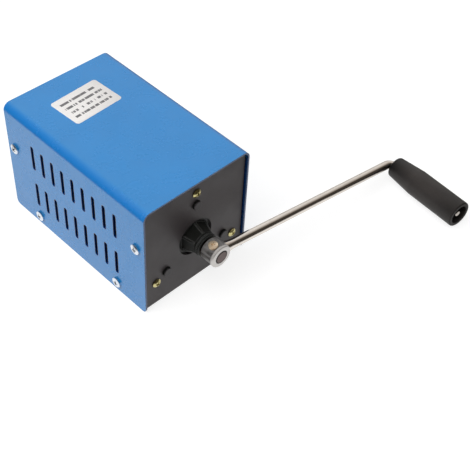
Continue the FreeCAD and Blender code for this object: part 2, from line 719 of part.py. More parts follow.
def crank_arm():
    """Boss, arm and spindle in one plated piece."""
    body = joined([crank_boss(), bent_rod(), rod_root()])
    body = body.cut(rod_y(SHAFT_RADIUS + SEAT_GAP, CRANK_FRONT - 1, CRANK_BACK + 1))
    seat, direction = set_screw_seat()
    hole = Part.makeCylinder(M3_TAPPED, CRANK_BOSS_RADIUS, V(0, CRANK_MID, AXIS_Z), direction)
    spot = Part.makeCylinder(HEAD_RADIUS + 0.15, 5, seat, direction)
    return crank_at_rest(body.cut(hole).cut(spot))


def set_screw_seat():
    """Spot-faced seat of the radial screw on the boss, and the way the screw points."""
    a = math.radians(SET_SCREW_TURN)
    direction = V(math.cos(a), 0, math.sin(a))
    return V(0, CRANK_MID, AXIS_Z) + direction * (CRANK_BOSS_RADIUS - 0.45), direction


def crank_set_screw():
    seat, direction = set_screw_seat()
    reach = (seat - V(0, CRANK_MID, AXIS_Z)).Length - SHAFT_FLAT - 0.02
    return crank_at_rest(placed(pan_screw(reach), seat, direction))


def along_spindle(shape):
    """Moves a shape drawn along +Z from the origin on to the spindle, at rest."""
    corner, _, spindle = arm_frame()
    return crank_at_rest(placed(shape, corner, spindle))


def spindle_turned(edges):
    return Part.Face(Part.Wire(edges)).revolve(V(0, 0, 0), V(0, 0, 1), 360)


def handle_grip():
    """Handle that tapers towards the arm, with a deep recess round the spindle's far end."""
    bore = ROD_RADIUS + RUNNING_GAP
    n = HANDLE_ROUND
    f = n * (1 - math.sqrt(0.5))
    floor = HANDLE_END - RECESS_DEPTH

    def line(r0, z0, r1, z1):
        return Part.LineSegment(V(r0, 0, z0), V(r1, 0, z1)).toShape()

    def arc(r0, z0, rm, zm, r1, z1):
        return Part.Arc(V(r0, 0, z0), V(rm, 0, zm), V(r1, 0, z1)).toShape()

    near = HANDLE_NEAR_RADIUS
    far = HANDLE_RADIUS
    slope = (far - near) / (HANDLE_SHOULDER - HANDLE_START)
    return along_spindle(spindle_turned([
        line(MOUTH_RADIUS, HANDLE_START, near - n, HANDLE_START),
        arc(near - n, HANDLE_START, near - f, HANDLE_START + f, near + slope * n, HANDLE_START + n),
        line(near + slope * n, HANDLE_START + n, far, HANDLE_SHOULDER),
        line(far, HANDLE_SHOULDER, far, HANDLE_END - n),
        arc(far, HANDLE_END - n, far - f, HANDLE_END - f, far - n, HANDLE_END),
        line(far - n, HANDLE_END, RECESS_RADIUS + 0.3, HANDLE_END),
        line(RECESS_RADIUS + 0.3, HANDLE_END, RECESS_RADIUS, HANDLE_END - 0.3),
        line(RECESS_RADIUS, HANDLE_END - 0.3, RECESS_RADIUS, floor),
        line(RECESS_RADIUS, floor, bore, floor),
        line(bore, floor, bore, HANDLE_START + MOUTH_DEPTH),
        line(bore, HANDLE_START + MOUTH_DEPTH, MOUTH_RADIUS, HANDLE_START + MOUTH_DEPTH),
        line(MOUTH_RADIUS, HANDLE_START + MOUTH_DEPTH, MOUTH_RADIUS, HANDLE_START),
    ]))


def handle_washer():
    """Push-on washer that keeps the handle on the spindle."""
    base = HANDLE_END - RECESS_DEPTH + 0.1
    outer = Part.makeCylinder(WASHER_RADIUS, WASHER_THICK, V(0, 0, base))
    inner = Part.makeCylinder(SPINDLE_TIP_RADIUS + SEAT_GAP, WASHER_THICK + 2, V(0, 0, base - 1))
    return along_spindle(outer.cut(inner))


# Generator

def generator_can():
    """Drawn steel can: closed at the front but for the shaft, open at the back."""
    can = rod_y(CAN_RADIUS, CAN_FRONT, CAN_REAR)
    inside = rod_y(CAN_RADIUS - CAN_WALL, CAN_FRONT + CAN_WALL * 2, CAN_REAR + 1)
    holes = [inside, rod_y(ARMATURE_SHAFT * 2, CAN_FRONT - 1, CAN_FRONT + 8)]
    for x in (-CAN_SCREW_OFFSET, CAN_SCREW_OFFSET):
        holes.append(rod_y(M3_TAPPED, CAN_FRONT - 1, CAN_FRONT + CAN_WALL * 2 + 1, x))
    can = can.cut(Part.makeCompound(holes))
    return can


def generator_screws():
    """Two screws inside the gearbox that hold the can to the rear plate."""
    screw = inner_screw(REAR_PLATE_THICK + CAN_WALL * 2)
    places = (-CAN_SCREW_OFFSET, CAN_SCREW_OFFSET)
    return Part.makeCompound([placed(screw, V(x, BOX_REAR, AXIS_Z), V(0, -1, 0)) for x in places])


def magnet_y0():
    return CAN_FRONT + 7.0


def generator_magnets():
    """Two arc magnets inside the can, with gaps at the sides."""
    ring = tube_y(CAN_RADIUS - CAN_WALL - SEAT_GAP, MAGNET_INNER, magnet_y0(),
                  magnet_y0() + MAGNET_LENGTH)
    gap = box(-CAN_RADIUS, CAN_RADIUS, magnet_y0() - 1, magnet_y0() + MAGNET_LENGTH + 1,
              AXIS_Z - 4, AXIS_Z + 4)
    return ring.cut(gap)


def core_y0():
    return magnet_y0() + (MAGNET_LENGTH - CORE_LENGTH) / 2


def armature_core():
    """Laminated core with five poles that carry shoes."""
    y0 = core_y0()
    y1 = y0 + CORE_LENGTH
    shapes = [rod_y(CORE_HUB_RADIUS, y0, y1)]
    rim = tube_y(CORE_RADIUS, CORE_RADIUS - POLE_SHOE_THICK, y0, y1)
    gaps = []
    for i in range(POLE_COUNT):
        pole = box(CORE_HUB_RADIUS - 1, CORE_RADIUS - 0.6, y0, y1,
                   AXIS_Z - POLE_WIDTH / 2, AXIS_Z + POLE_WIDTH / 2)
        pole.rotate(V(0, 0, AXIS_Z), V(0, 1, 0), 360.0 * i / POLE_COUNT)
        shapes.append(pole)
        gap = box(5, CORE_RADIUS + 2, y0 - 1, y1 + 1,
                  AXIS_Z - POLE_SHOE_GAP / 2, AXIS_Z + POLE_SHOE_GAP / 2)
        gap.rotate(V(0, 0, AXIS_Z), V(0, 1, 0), 360.0 * (i + 0.5) / POLE_COUNT)
        gaps.append(gap)
    shapes.append(rim.cut(Part.makeCompound(gaps)))
    bore = rod_y(ARMATURE_SHAFT + SEAT_GAP, y0 - 1, y1 + 1)
    return joined(shapes).cut(bore)


def armature_windings():
    """Copper in the core's slots and round its ends, as one closed form."""
    y0 = core_y0()
    y1 = y0 + CORE_LENGTH
    outer = CORE_RADIUS - POLE_SHOE_THICK - 0.6
    wound = rod_y(outer, y0 - WINDING_OVERHANG, y1 + WINDING_OVERHANG)
    wound = wound.cut(rod_y(CORE_HUB_RADIUS + 0.1, y0 - 5, y1 + 5))
    keep_out = []
    for i in range(POLE_COUNT):
        side = POLE_WIDTH / 2 + 0.1
        pole = box(5, CORE_RADIUS, y0 - 0.05, y1 + 0.05, AXIS_Z - side, AXIS_Z + side)
        pole.rotate(V(0, 0, AXIS_Z), V(0, 1, 0), 360.0 * i / POLE_COUNT)
        keep_out.append(pole)
    return wound.cut(Part.makeCompound(keep_out))


def armature_shaft():
    return rod_y(ARMATURE_SHAFT, SECOND_GEARS_Y, CAN_REAR + 2.0)


def commutator():
    y0 = core_y0() + CORE_LENGTH + WINDING_OVERHANG + 1.0
    return tube_y(COMMUTATOR_RADIUS, ARMATURE_SHAFT + SEAT_GAP, y0, CAN_REAR - 2.5)


def brushes():
    """Two carbon blocks that bear on the commutator."""
    half = BRUSH_SIZE / 2
    near = COMMUTATOR_RADIUS + SEAT_GAP
    spans = ((-BRUSH_END, -near), (near, BRUSH_END))
    return Part.makeCompound([
        box(x0, x1, BRUSH_Y - half, BRUSH_Y + half, AXIS_Z - half, AXIS_Z + half) for x0, x1 in spans
    ])


def generator_bearings():
    """Two small bushes for the armature, one in the can's nose and one in the end cap."""
    inner = ARMATURE_SHAFT + RUNNING_GAP
    outer = ARMATURE_SHAFT * 2 - SEAT_GAP
    front = tube_y(outer, inner, CAN_FRONT, CAN_FRONT + 4)
    rear = tube_y(outer, inner, CAN_REAR - 1, CAN_REAR + 3)
    return Part.makeCompound([front, rear])


def generator_end_cap():
    """Moulded cap that closes the can, with guides for the brushes and slots for the terminals."""
    y1 = CAN_REAR + END_CAP_THICK
    plug = rod_y(CAN_RADIUS - CAN_WALL - SEAT_GAP, CAN_REAR - 1.5, CAN_REAR)
    disc = rod_y(CAN_RADIUS - 0.6, CAN_REAR, y1)
    edge = [e for e in disc.Edges if e.BoundBox.YMin > y1 - 0.01]
    disc = disc.makeFillet(1.5, edge)
    bore = rod_y(ARMATURE_SHAFT * 2, CAN_REAR - 2, CAN_REAR + 3)
    slots = [terminal_tab(side, CAN_REAR - 2, 0.05) for side in (-1, 1)]
    guides = []
    for x0, x1 in ((-BRUSH_END, -BRUSH_GUIDE_START), (BRUSH_GUIDE_START, BRUSH_END)):
        half = BRUSH_SIZE / 2
        guides.append(box(x0, x1, BRUSH_Y - half - 1.5, CAN_REAR, AXIS_Z - half - 1.5, AXIS_Z + half + 1.5))
        slots.append(box(x0 - 0.1, x1 + 0.1, BRUSH_Y - half - SEAT_GAP, BRUSH_Y + half + SEAT_GAP,
                         AXIS_Z - half - SEAT_GAP, AXIS_Z + half + SEAT_GAP))
    return joined([plug, disc] + guides).cut(Part.makeCompound([bore] + slots))


def terminal_tab(side, y0, spare):
    x = side * TERMINAL_SPACING
    z = AXIS_Z + TERMINAL_RISE
    y1 = CAN_REAR + END_CAP_THICK + TERMINAL_LENGTH
    across = TERMINAL_THICK / 2 + spare
    up = TERMINAL_WIDTH / 2 + spare
    return box(x - across, x + across, y0, y1, z - up, z + up)


def generator_terminals():
    return Part.makeCompound([terminal_tab(side, CAN_REAR - 1, 0) for side in (-1, 1)])


# Regulator board

def board_corners():
    inset = BOARD_HOLE_INSET
    return [(sx * (BOARD_X / 2 - inset), y) for sx in (-1, 1)
            for y in (BOARD_FRONT + inset, BOARD_BACK - inset)]


def regulator_board():
    board = box(-BOARD_X / 2, BOARD_X / 2, BOARD_FRONT, BOARD_BACK, BOARD_BOTTOM, BOARD_TOP)
    holes = [rod_z(M3_CLEARANCE, BOARD_BOTTOM - 1, BOARD_TOP + 1, x, y) for x, y in board_corners()]
    return board.cut(Part.makeCompound(holes))


def board_standoffs():
    """Four tapped posts fixed to the base, one under each corner of the board."""
    posts = []
    for x, y in board_corners():
        post = rod_z(3.0, CHASSIS_SHEET, BOARD_BOTTOM, x, y)
        posts.append(post.cut(rod_z(M3_TAPPED, CHASSIS_SHEET + 1, BOARD_BOTTOM + 1, x, y)))
    return Part.makeCompound(posts)


def board_screws():
    screw = inner_screw(BOARD_THICK + BOARD_STANDOFF - 2)
    return Part.makeCompound([placed(screw, V(x, y, BOARD_TOP), V(0, 0, 1)) for x, y in board_corners()])


def board_components():
    """Inductor, chip and two capacitors on the top of the board."""
    front = BOARD_FRONT
    coil = rod_z(5.0, BOARD_TOP, BOARD_TOP + 5, 12, front + 9)
    chip = box(-6, 4, front + 4, front + 11, BOARD_TOP, BOARD_TOP + 1.8)
    large_can = rod_z(4.0, BOARD_TOP, BOARD_TOP + 12, 0, BOARD_BACK - 6)
    small_can = rod_z(2.5, BOARD_TOP, BOARD_TOP + 5.5, -15, front + 8)
    return Part.makeCompound([coil, chip, large_can, small_can])


def usb_socket():
    """Folded metal shell, open at the rear, with the contact tongue inside."""
    width, length, height = USB_SIZE
    y1 = REAR_OUTER - 0.1
    y0 = y1 - length
    x0 = USB_X - width / 2
    x1 = USB_X + width / 2
    t = USB_SHEET
    shell = box(x0, x1, y0, y1, BOARD_TOP, BOARD_TOP + height)
    shell = shell.cut(box(x0 + t, x1 - t, y0 + 2.5, y1 + 1, BOARD_TOP + t, BOARD_TOP + height - t))
    top = BOARD_TOP + height - t
    tongue = box(x0 + t + 0.8, x1 - t - 0.8, y0 + 2, y1 - 3, top - 2.4, top - 0.6)
    return joined([shell, tongue])


def dc_jack():
    """Moulded jack body with a round nose through the rear plate and a centre pin."""
    width, length, height = JACK_SIZE
    z = BOARD_TOP + height / 2
    y1 = REAR_INNER - 0.1
    y0 = y1 - length
    body = box(JACK_X - width / 2, JACK_X + width / 2, y0, y1, BOARD_TOP, BOARD_TOP + height)
    nose = rod_y(JACK_NOSE_RADIUS, y1 - 1, REAR_OUTER + 0.6, JACK_X, z)
    bore = rod_y(JACK_BORE, y0 + 3, REAR_OUTER + 2, JACK_X, z)
    pin = rod_y(JACK_PIN, y0 + 2, y1 - 1, JACK_X, z)
    return joined([joined([body, nose]).cut(bore), pin])


def lead(side):
    """Insulated wire from a generator terminal back, down and on to the board."""
    x = side * (TERMINAL_SPACING + TERMINAL_THICK / 2 + WIRE_RADIUS)
    z = AXIS_Z + TERMINAL_RISE
    y0 = CAN_REAR + END_CAP_THICK + 2.0
    y1 = y0 + 1.0 + WIRE_BEND
    start = V(x, y0, z)
    before = V(x, y1 - WIRE_BEND, z)
    reach = WIRE_BEND * (1 - math.sqrt(0.5))
    middle = V(x, y1 - reach, z - reach)
    after = V(x, y1, z - WIRE_BEND)
    path = Part.Wire([
        Part.LineSegment(start, before).toShape(),
        Part.Arc(before, middle, after).toShape(),
        Part.LineSegment(after, V(x, y1, BOARD_TOP)).toShape(),
    ])
    section = Part.Wire(Part.Circle(start, V(0, 1, 0), WIRE_RADIUS).toShape())
    return path.makePipeShell([section], True, False)


def all_parts():
    parts = {
        "cover": cover(),
        "chassis": chassis(),
        "cover_screws": cover_screws(),
        "plate_screws": plate_screws(),
        "gearbox_front_cover": gearbox_front_cover(),
        "gearbox_housing": gearbox_housing(),
        "gearbox_rear_plate": gearbox_rear_plate(),
        "gearbox_rear_screws": gearbox_rear_screws(),
        "ring_gear": ring_gear(),
        "front_bush": front_bush(),
        "input_shaft": input_shaft(),
        "input_carrier": input_carrier(),
        "input_planet_pins": planet_pins(FIRST_CARRIER_Y),
        "output_carrier": output_carrier(),
        "output_planet_pins": planet_pins(SECOND_CARRIER_Y),
        "output_sun": output_sun(),
        "generator_can": generator_can(),
        "generator_screws": generator_screws(),
        "generator_magnets": generator_magnets(),
        "generator_bearings": generator_bearings(),
        "generator_end_cap": generator_end_cap(),
        "generator_terminals": generator_terminals(),
        "armature_shaft": armature_shaft(),
        "armature_core": armature_core(),
        "armature_windings": armature_windings(),
        "commutator": commutator(),
        "brushes": brushes(),
        "regulator_board": regulator_board(),
        "board_standoffs": board_standoffs(),
        "board_screws": board_screws(),
        "board_components": board_components(),
        "usb_socket": usb_socket(),
        "dc_jack": dc_jack(),
        "lead_red": lead(1),
        "lead_black": lead(-1),
        "crank_arm": crank_arm(),
        "crank_set_screw": crank_set_screw(),
        "handle_grip": handle_grip(),
        "handle_washer": handle_washer(),
    }
    for number, degrees in enumerate(THIRDS, 1):
        parts["input_planet_%d" % number] = planet_gear(FIRST_GEARS_Y, degrees)
        parts["output_planet_%d" % number] = planet_gear(SECOND_GEARS_Y, degrees)
    return parts


def main():
    os.makedirs("parts", exist_ok=True)
    for name, shape in all_parts().items():
        shape.exportStep("parts/%s.step" % name)
        print(name, "volume %.1f" % shape.Volume, "solids", len(shape.Solids), shape.isValid())


main()
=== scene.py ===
import math

import bmesh
import bpy
from mathutils import Matrix, Vector


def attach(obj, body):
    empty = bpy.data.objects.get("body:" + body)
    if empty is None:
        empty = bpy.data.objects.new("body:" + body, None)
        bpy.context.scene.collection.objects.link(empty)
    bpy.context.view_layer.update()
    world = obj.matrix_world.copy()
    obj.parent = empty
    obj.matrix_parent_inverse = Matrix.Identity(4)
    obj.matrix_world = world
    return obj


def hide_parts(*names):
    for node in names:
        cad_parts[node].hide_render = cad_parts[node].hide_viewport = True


# A hand crank generator on a white table. Lengths are in millimetres here and become metres
# through MM. The frame is the part's own: +Z up, front plate towards -Y, origin under the case.

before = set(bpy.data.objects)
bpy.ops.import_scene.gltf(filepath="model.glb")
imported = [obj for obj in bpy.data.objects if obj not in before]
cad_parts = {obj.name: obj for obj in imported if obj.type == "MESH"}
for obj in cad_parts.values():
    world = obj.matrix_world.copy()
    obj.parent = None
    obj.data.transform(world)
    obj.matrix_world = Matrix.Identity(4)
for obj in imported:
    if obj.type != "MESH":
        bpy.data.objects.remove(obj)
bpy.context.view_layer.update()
MM = 0.001


# Sizes of the part that several sections share

HALF_WIDTH = 40.0
CASE_TOP = 80.0
AXIS_Z = 36.0
PLATE_FRONT = -61.0
THIRDS = (90.0, 210.0, 330.0)
HANDLE_MID = Vector((158.722, -110.494, 9.297))
HANDLE_WAY = Vector((-0.10257, -0.99458, 0.01726))


# Camera, solved from the case's edges

CAMERA_AT = Vector((-274.49, -344.85, 453.43))
CAMERA_AHEAD = Vector((0.50726, 0.46713, -0.72421))
CAMERA_RIGHT = Vector((0.71184, -0.70080, 0.04656))
CAMERA_LENS = 75.91
CAMERA_SENSOR = 36.0


def add_camera():
    data = bpy.data.cameras.new("camera")
    data.lens = CAMERA_LENS
    data.sensor_width = CAMERA_SENSOR
    data.clip_start = 0.02
    data.clip_end = 50.0
    camera = bpy.data.objects.new("camera", data)
    ahead = CAMERA_AHEAD.normalized()
    right = (CAMERA_RIGHT - ahead * CAMERA_RIGHT.dot(ahead)).normalized()
    up = right.cross(ahead)
    turn = Matrix((right, up, -ahead)).transposed().to_4x4()
    camera.matrix_world = Matrix.Translation(CAMERA_AT * MM) @ turn
    bpy.context.scene.collection.objects.link(camera)
    bpy.context.scene.camera = camera


# Node trees

class Tree:
    """A small helper that adds nodes and links to a material or world in few words."""

    def __init__(self, owner):
        owner.use_nodes = True
        self.nodes = owner.node_tree.nodes
        self.links = owner.node_tree.links
        self.nodes.clear()

    def add(self, kind, inputs=None, **settings):
        node = self.nodes.new(kind)
        for key, value in settings.items():
            setattr(node, key, value)
        for key, value in (inputs or {}).items():
            self.put(node.inputs[key], value)
        return node

    def put(self, socket, value):
        if isinstance(value, bpy.types.NodeSocket):
            self.links.new(value, socket)
        else:
            socket.default_value = value

    def math(self, operation, a, b=0.0):
        return self.add("ShaderNodeMath", {0: a, 1: b}, operation=operation).outputs[0]

    def vector_math(self, operation, a, b=(0.0, 0.0, 0.0)):
        return self.add("ShaderNodeVectorMath", {0: a, 1: b}, operation=operation).outputs

    def length(self, a, b):
        """Square root of the sum of two squares."""
        return self.math("SQRT", self.math("ADD", self.both(a, a), self.both(b, b)))

    def span(self, value, low, high, to_low=0.0, to_high=1.0):
        """Value's place between low and high, from to_low to to_high and no further."""
        inputs = {"Value": value, "From Min": low, "From Max": high, "To Min": to_low, "To Max": to_high}
        return self.add("ShaderNodeMapRange", inputs).outputs["Result"]

    def mix(self, factor, a, b):
        """Colour a where factor is 0 and colour b where it's 1."""
        node = self.add("ShaderNodeMix", data_type="RGBA")
        self.put(node.inputs[0], factor)
        self.put(node.inputs[6], a)
        self.put(node.inputs[7], b)
        return node.outputs[2]

    def both(self, a, b):
        return self.math("MULTIPLY", a, b)

    def axis(self, letter):
        return self.add("ShaderNodeSeparateXYZ", {0: self.where()}).outputs[letter]

    def from_main_axis(self):
        return self.length(self.axis("X"), self.math("SUBTRACT", self.axis("Z"), AXIS_Z * MM))

    def from_handle(self):
        """Distance along the handle from its middle, and distance out from its axis."""
        reach = self.vector_math("SUBTRACT", self.where(), HANDLE_MID * MM)[0]
        along = self.vector_math("DOT_PRODUCT", reach, HANDLE_WAY)["Value"]
        across = self.vector_math("CROSS_PRODUCT", reach, HANDLE_WAY)[0]
        return along, self.vector_math("LENGTH", across)["Value"]

    def where(self):
        return self.add("ShaderNodeTexCoord").outputs["Object"]

    def stretched(self, scale):
        """The place with each axis scaled: a small factor stretches a pattern along that axis."""
        return self.add("ShaderNodeMapping", {"Vector": self.where(), "Scale": scale}).outputs["Vector"]

    def noise(self, size_mm, detail=2.0, roughness=0.5, vector=None):
        inputs = {
            "Vector": vector or self.where(), "Scale": 1.0 / (size_mm * MM),
            "Detail": detail, "Roughness": roughness,
        }
        return self.add("ShaderNodeTexNoise", inputs).outputs["Fac"]

    def bump(self, height, depth_mm, normal=None, strength=1.0):
        inputs = {"Height": height, "Distance": depth_mm * MM, "Strength": strength}
        if normal:
            inputs["Normal"] = normal
        return self.add("ShaderNodeBump", inputs).outputs["Normal"]

    def soft_edge(self, radius_mm):
        return self.add("ShaderNodeBevel", {"Radius": radius_mm * MM}, samples=6).outputs["Normal"]

    def edge_mask(self, radius_mm, reach):
        """1 along sharp edges and corners, 0 on flat ground."""
        flat = self.add("ShaderNodeNewGeometry").outputs["True Normal"]
        facing = self.vector_math("DOT_PRODUCT", self.soft_edge(radius_mm), flat)["Value"]
        return self.span(facing, 1.0, 1.0 - reach)


def surface(name):
    material = bpy.data.materials.new(name)
    tree = Tree(material)
    shader = tree.add("ShaderNodeBsdfPrincipled")
    tree.add("ShaderNodeOutputMaterial", {"Surface": shader.outputs[0]})
    return material, tree, shader


def rgb(red, green, blue):
    return (red, green, blue, 1.0)


def scaled(colour, factor):
    return rgb(*(part * factor for part in colour))


def add_patches(tree, ground, patches):
    """Each patch is a function that gives a mask and the tone that the ground takes under it."""
    for patch in patches:
        where, tone = patch(tree)
        ground = tree.mix(where, ground, tone)
    return ground


# Looks of places on the part. Sizes are in millimetres. Each function gives a mask and a tone.

INNER_HALF_WIDTH = 39.88
INSIDE_BELOW = 74.0
# The tone inside the cover is painted shade
PAINTED_SHADE_INSIDE = rgb(0.001, 0.03, 0.16)

SLOT_PITCH = 9.36
SLOT_COUNT = 9
SLOT_ROWS_Z = (24.2, 54.0)
SLOT_STRAIGHT = 15.5
SLOT_RIM_RADIUS = 1.58
SLOT_RIM_SOFTNESS = 0.08
# The slots' rims take painted shade, as dark as the shaded openings
SLOT_RIM_PAINTED_SHADE = rgb(0.0, 0.018, 0.11)

# SKIN is how far under the cover's outer face its cut edges begin
RIM_FROM = 61.2
SKIN = 0.03
# The cut edges take painted shade
CUT_EDGE_PAINTED_SHADE = rgb(0.0, 0.045, 0.17)

BEND_REACH = 4.8
BEND_FULL_AT = 0.35
# The bends' deeper blue is painted shade
BEND_SHADE_SHARE = 0.6
BEND_PAINTED_SHADE = rgb(0.006, 0.158, 0.53)

PEG_CLEAR = 20.0
PEG_FACE = -62.3
PEG_DARK = rgb(0.035, 0.031, 0.033)
PEG_LIGHT = rgb(0.055, 0.049, 0.052)

HANDLE_NEAR_END = (-7.0, -24.0)
HANDLE_FAR_END = (7.0, 28.0)
HANDLE_FAR_SHARE = 0.5
HANDLE_DARK = rgb(0.009, 0.0085, 0.008)
RECESS_RADIUS = 6.35
RECESS_FLOOR = 22.5
# The recess's tone is painted shade
RECESS_PAINTED_SHADE = rgb(0.006, 0.005, 0.005)

SHAFT_EDGE = (3.5, 3.9)
# The dark ring round the shaft's end is painted shade
SHAFT_GAP_PAINTED_SHADE = rgb(0.03, 0.024, 0.022)

# The wave texture's scale that sets the soft bands 3.1 mm apart
CORE_WAVE_SCALE = 100.0

SLEEVE_DULLNESS = 0.24
SLEEVE_METAL = 0.55
SLEEVE_REACH = 7.6
SLEEVE_FRONT = -81.0
# The sleeve's dark and light tones, spread by streaks and across X, are painted reflection and painted
# shade
SLEEVE_SHADED = (-7.0, 6.0)
SLEEVE_DARK = rgb(0.08, 0.074, 0.07)
SLEEVE_LIGHT = rgb(0.56, 0.54, 0.53)
EYE_FACE = rgb(0.72, 0.69, 0.665)


def inner_walls(tree):
    """Painted shade on the inner side of the cover's walls and in its slots, where little light reaches."""
    side = tree.math("ABSOLUTE", tree.axis("X"))
    walls = tree.both(tree.math("LESS_THAN", side, INNER_HALF_WIDTH * MM),
                      tree.math("LESS_THAN", tree.axis("Z"), INSIDE_BELOW * MM))
    return walls, PAINTED_SHADE_INSIDE


def slot_rims(tree):
    """A rim of painted shade round each vent slot, which makes it look about 3.2 mm wide."""
    y, z = tree.axis("Y"), tree.axis("Z")
    step = tree.math("ADD", tree.math("MULTIPLY", y, 1.0 / (SLOT_PITCH * MM)), 0.5)
    along = tree.math("MULTIPLY", tree.math("SUBTRACT", tree.math("FRACT", step), 0.5), SLOT_PITCH * MM)
    lower, upper = (tree.math("ABSOLUTE", tree.math("SUBTRACT", z, row * MM)) for row in SLOT_ROWS_Z)
    past_round = tree.math("SUBTRACT", tree.math("MINIMUM", lower, upper), SLOT_STRAIGHT / 2 * MM)
    height = tree.math("MAXIMUM", past_round, 0.0)
    away = tree.length(along, height)
    in_row = tree.math("LESS_THAN", tree.math("ABSOLUTE", y), SLOT_PITCH * SLOT_COUNT / 2 * MM)
    outer = (SLOT_RIM_RADIUS + SLOT_RIM_SOFTNESS) * MM
    inner = (SLOT_RIM_RADIUS - SLOT_RIM_SOFTNESS) * MM
    return tree.both(tree.span(away, outer, inner), in_row), SLOT_RIM_PAINTED_SHADE


def end_rims(tree):
    """Painted shade on the cut edges at both ends of the cover and on its inner side just behind them,
    where the gap beside them lies in shade.
    """
    beyond = tree.math("GREATER_THAN", tree.math("ABSOLUTE", tree.axis("Y")), RIM_FROM * MM)
    side = tree.math("SUBTRACT", tree.math("ABSOLUTE", tree.axis("X")), (HALF_WIDTH - BEND_REACH) * MM)
    up = tree.math("SUBTRACT", tree.axis("Z"), (CASE_TOP - BEND_REACH) * MM)
    from_bend = tree.length(tree.math("MAXIMUM", side, 0.0), tree.math("MAXIMUM", up, 0.0))
    inside = tree.math("LESS_THAN", from_bend, (BEND_REACH - SKIN) * MM)
    return tree.both(beyond, inside), CUT_EDGE_PAINTED_SHADE


def shaded_bends(tree):
    """Painted shade along the two bends, which turns their blue deeper."""
    side = tree.math("ABSOLUTE", tree.axis("X"))
    start = HALF_WIDTH - BEND_REACH
    full = HALF_WIDTH - BEND_REACH * BEND_FULL_AT
    across = tree.span(side, start * MM, full * MM)
    up = tree.math("GREATER_THAN", tree.axis("Z"), (CASE_TOP - BEND_REACH) * MM)
    return tree.both(tree.both(across, up), BEND_SHADE_SHARE), BEND_PAINTED_SHADE


def peg_faces(tree):
    """The pegs' faces are a lighter, mottled grey: in front of the plate and well off the main axis."""
    faces = tree.both(tree.math("GREATER_THAN", tree.from_main_axis(), PEG_CLEAR * MM),
                      tree.math("LESS_THAN", tree.axis("Y"), PEG_FACE * MM))
    return faces, tree.mix(tree.noise(1.5, 3.0, 0.6), PEG_DARK, PEG_LIGHT)


def handle_ends(tree):
    """The handle is darker towards both ends, and most at the crank's end."""
    along, _ = tree.from_handle()
    near = tree.span(along, *(place * MM for place in HANDLE_NEAR_END))
    far = tree.span(along, *(place * MM for place in HANDLE_FAR_END), to_high=HANDLE_FAR_SHARE)
    return tree.math("MAXIMUM", near, far), HANDLE_DARK


def handle_recess(tree):
    """Painted shade in the recess in the handle's far end, where hardly any light reaches."""
    along, out = tree.from_handle()
    inside = tree.both(tree.math("LESS_THAN", out, RECESS_RADIUS * MM),
                       tree.math("GREATER_THAN", along, RECESS_FLOOR * MM))
    return inside, RECESS_PAINTED_SHADE


def shaft_edge(tree):
    """Painted shade round the shaft's end, where its chamfer meets the gap."""
    return tree.span(tree.from_main_axis(), *(radius * MM for radius in SHAFT_EDGE)), SHAFT_GAP_PAINTED_SHADE


# Materials

def powder_coat(name, colour, edge_colour, roughness, specular, grain_mm, grain_depth_mm, patches=()):
    """Powder coat: fine orange peel, a slow drift in colour, and lighter edges, from thinner coat and from
    a painted highlight.
    """
    material, tree, shader = surface(name)
    drift = tree.noise(38.0, 3.0, 0.6)
    ground = tree.mix(tree.span(drift, 0.35, 0.65), scaled(colour, 0.965), scaled(colour, 1.03))
    dust = tree.span(tree.noise(0.5, 2.0, 0.7), 0.7, 0.78, 0.0, 0.12)
    ground = tree.mix(dust, ground, rgb(*edge_colour))
    # Edges lighter: thinner coat, and a painted highlight
    uneven = tree.span(tree.noise(2.5), 0.3, 0.7, 0.35, 0.8)
    ground = tree.mix(tree.both(tree.edge_mask(0.35, 0.35), uneven), ground, rgb(*edge_colour))
    tree.put(shader.inputs["Base Color"], add_patches(tree, ground, patches))
    smear = tree.noise(14.0, 4.0, 0.65)
    tree.put(shader.inputs["Roughness"], tree.span(smear, 0.3, 0.7, roughness - 0.04, roughness + 0.05))
    peel = tree.noise(grain_mm, 2.0, 0.5)
    tree.put(shader.inputs["Normal"], tree.bump(peel, grain_depth_mm, tree.soft_edge(0.22)))
    shader.inputs["Specular IOR Level"].default_value = specular
    return material


def moulded_plastic(name, colour, roughness, specular, grain_mm, grain_depth_mm, edge_wear_and_highlight=0.012, edge_mm=0.4,
                    patches=()):
    """Dark moulded plastic: fine spark texture, flow marks, and lighter edges that are partly worn and
    partly a painted highlight.
    """
    material, tree, shader = surface(name)
    flow = tree.noise(9.0, 4.0, 0.6, tree.stretched((1.0, 0.35, 1.0)))
    ground = tree.mix(tree.span(flow, 0.3, 0.7), scaled(colour, 0.82), scaled(colour, 1.18))
    # Lighter edges: wear, and a painted highlight
    wear_and_highlight = rgb(*(min(1.0, part * 2.0 + edge_wear_and_highlight) for part in colour))
    edge = tree.both(tree.edge_mask(edge_mm, 0.4), 0.6)
    speck = tree.span(tree.noise(0.34, 1.0, 0.5), 0.62, 0.8, 0.0, 0.2)
    ground = tree.mix(tree.math("MAXIMUM", edge, speck), ground, wear_and_highlight)
    tree.put(shader.inputs["Base Color"], add_patches(tree, ground, patches))
    tree.put(shader.inputs["Roughness"], tree.span(flow, 0.25, 0.75, roughness + 0.05, roughness - 0.05))
    grain = tree.noise(grain_mm, 2.0, 0.6)
    tree.put(shader.inputs["Normal"], tree.bump(grain, grain_depth_mm, tree.soft_edge(0.25)))
    shader.inputs["Specular IOR Level"].default_value = specular
    return material


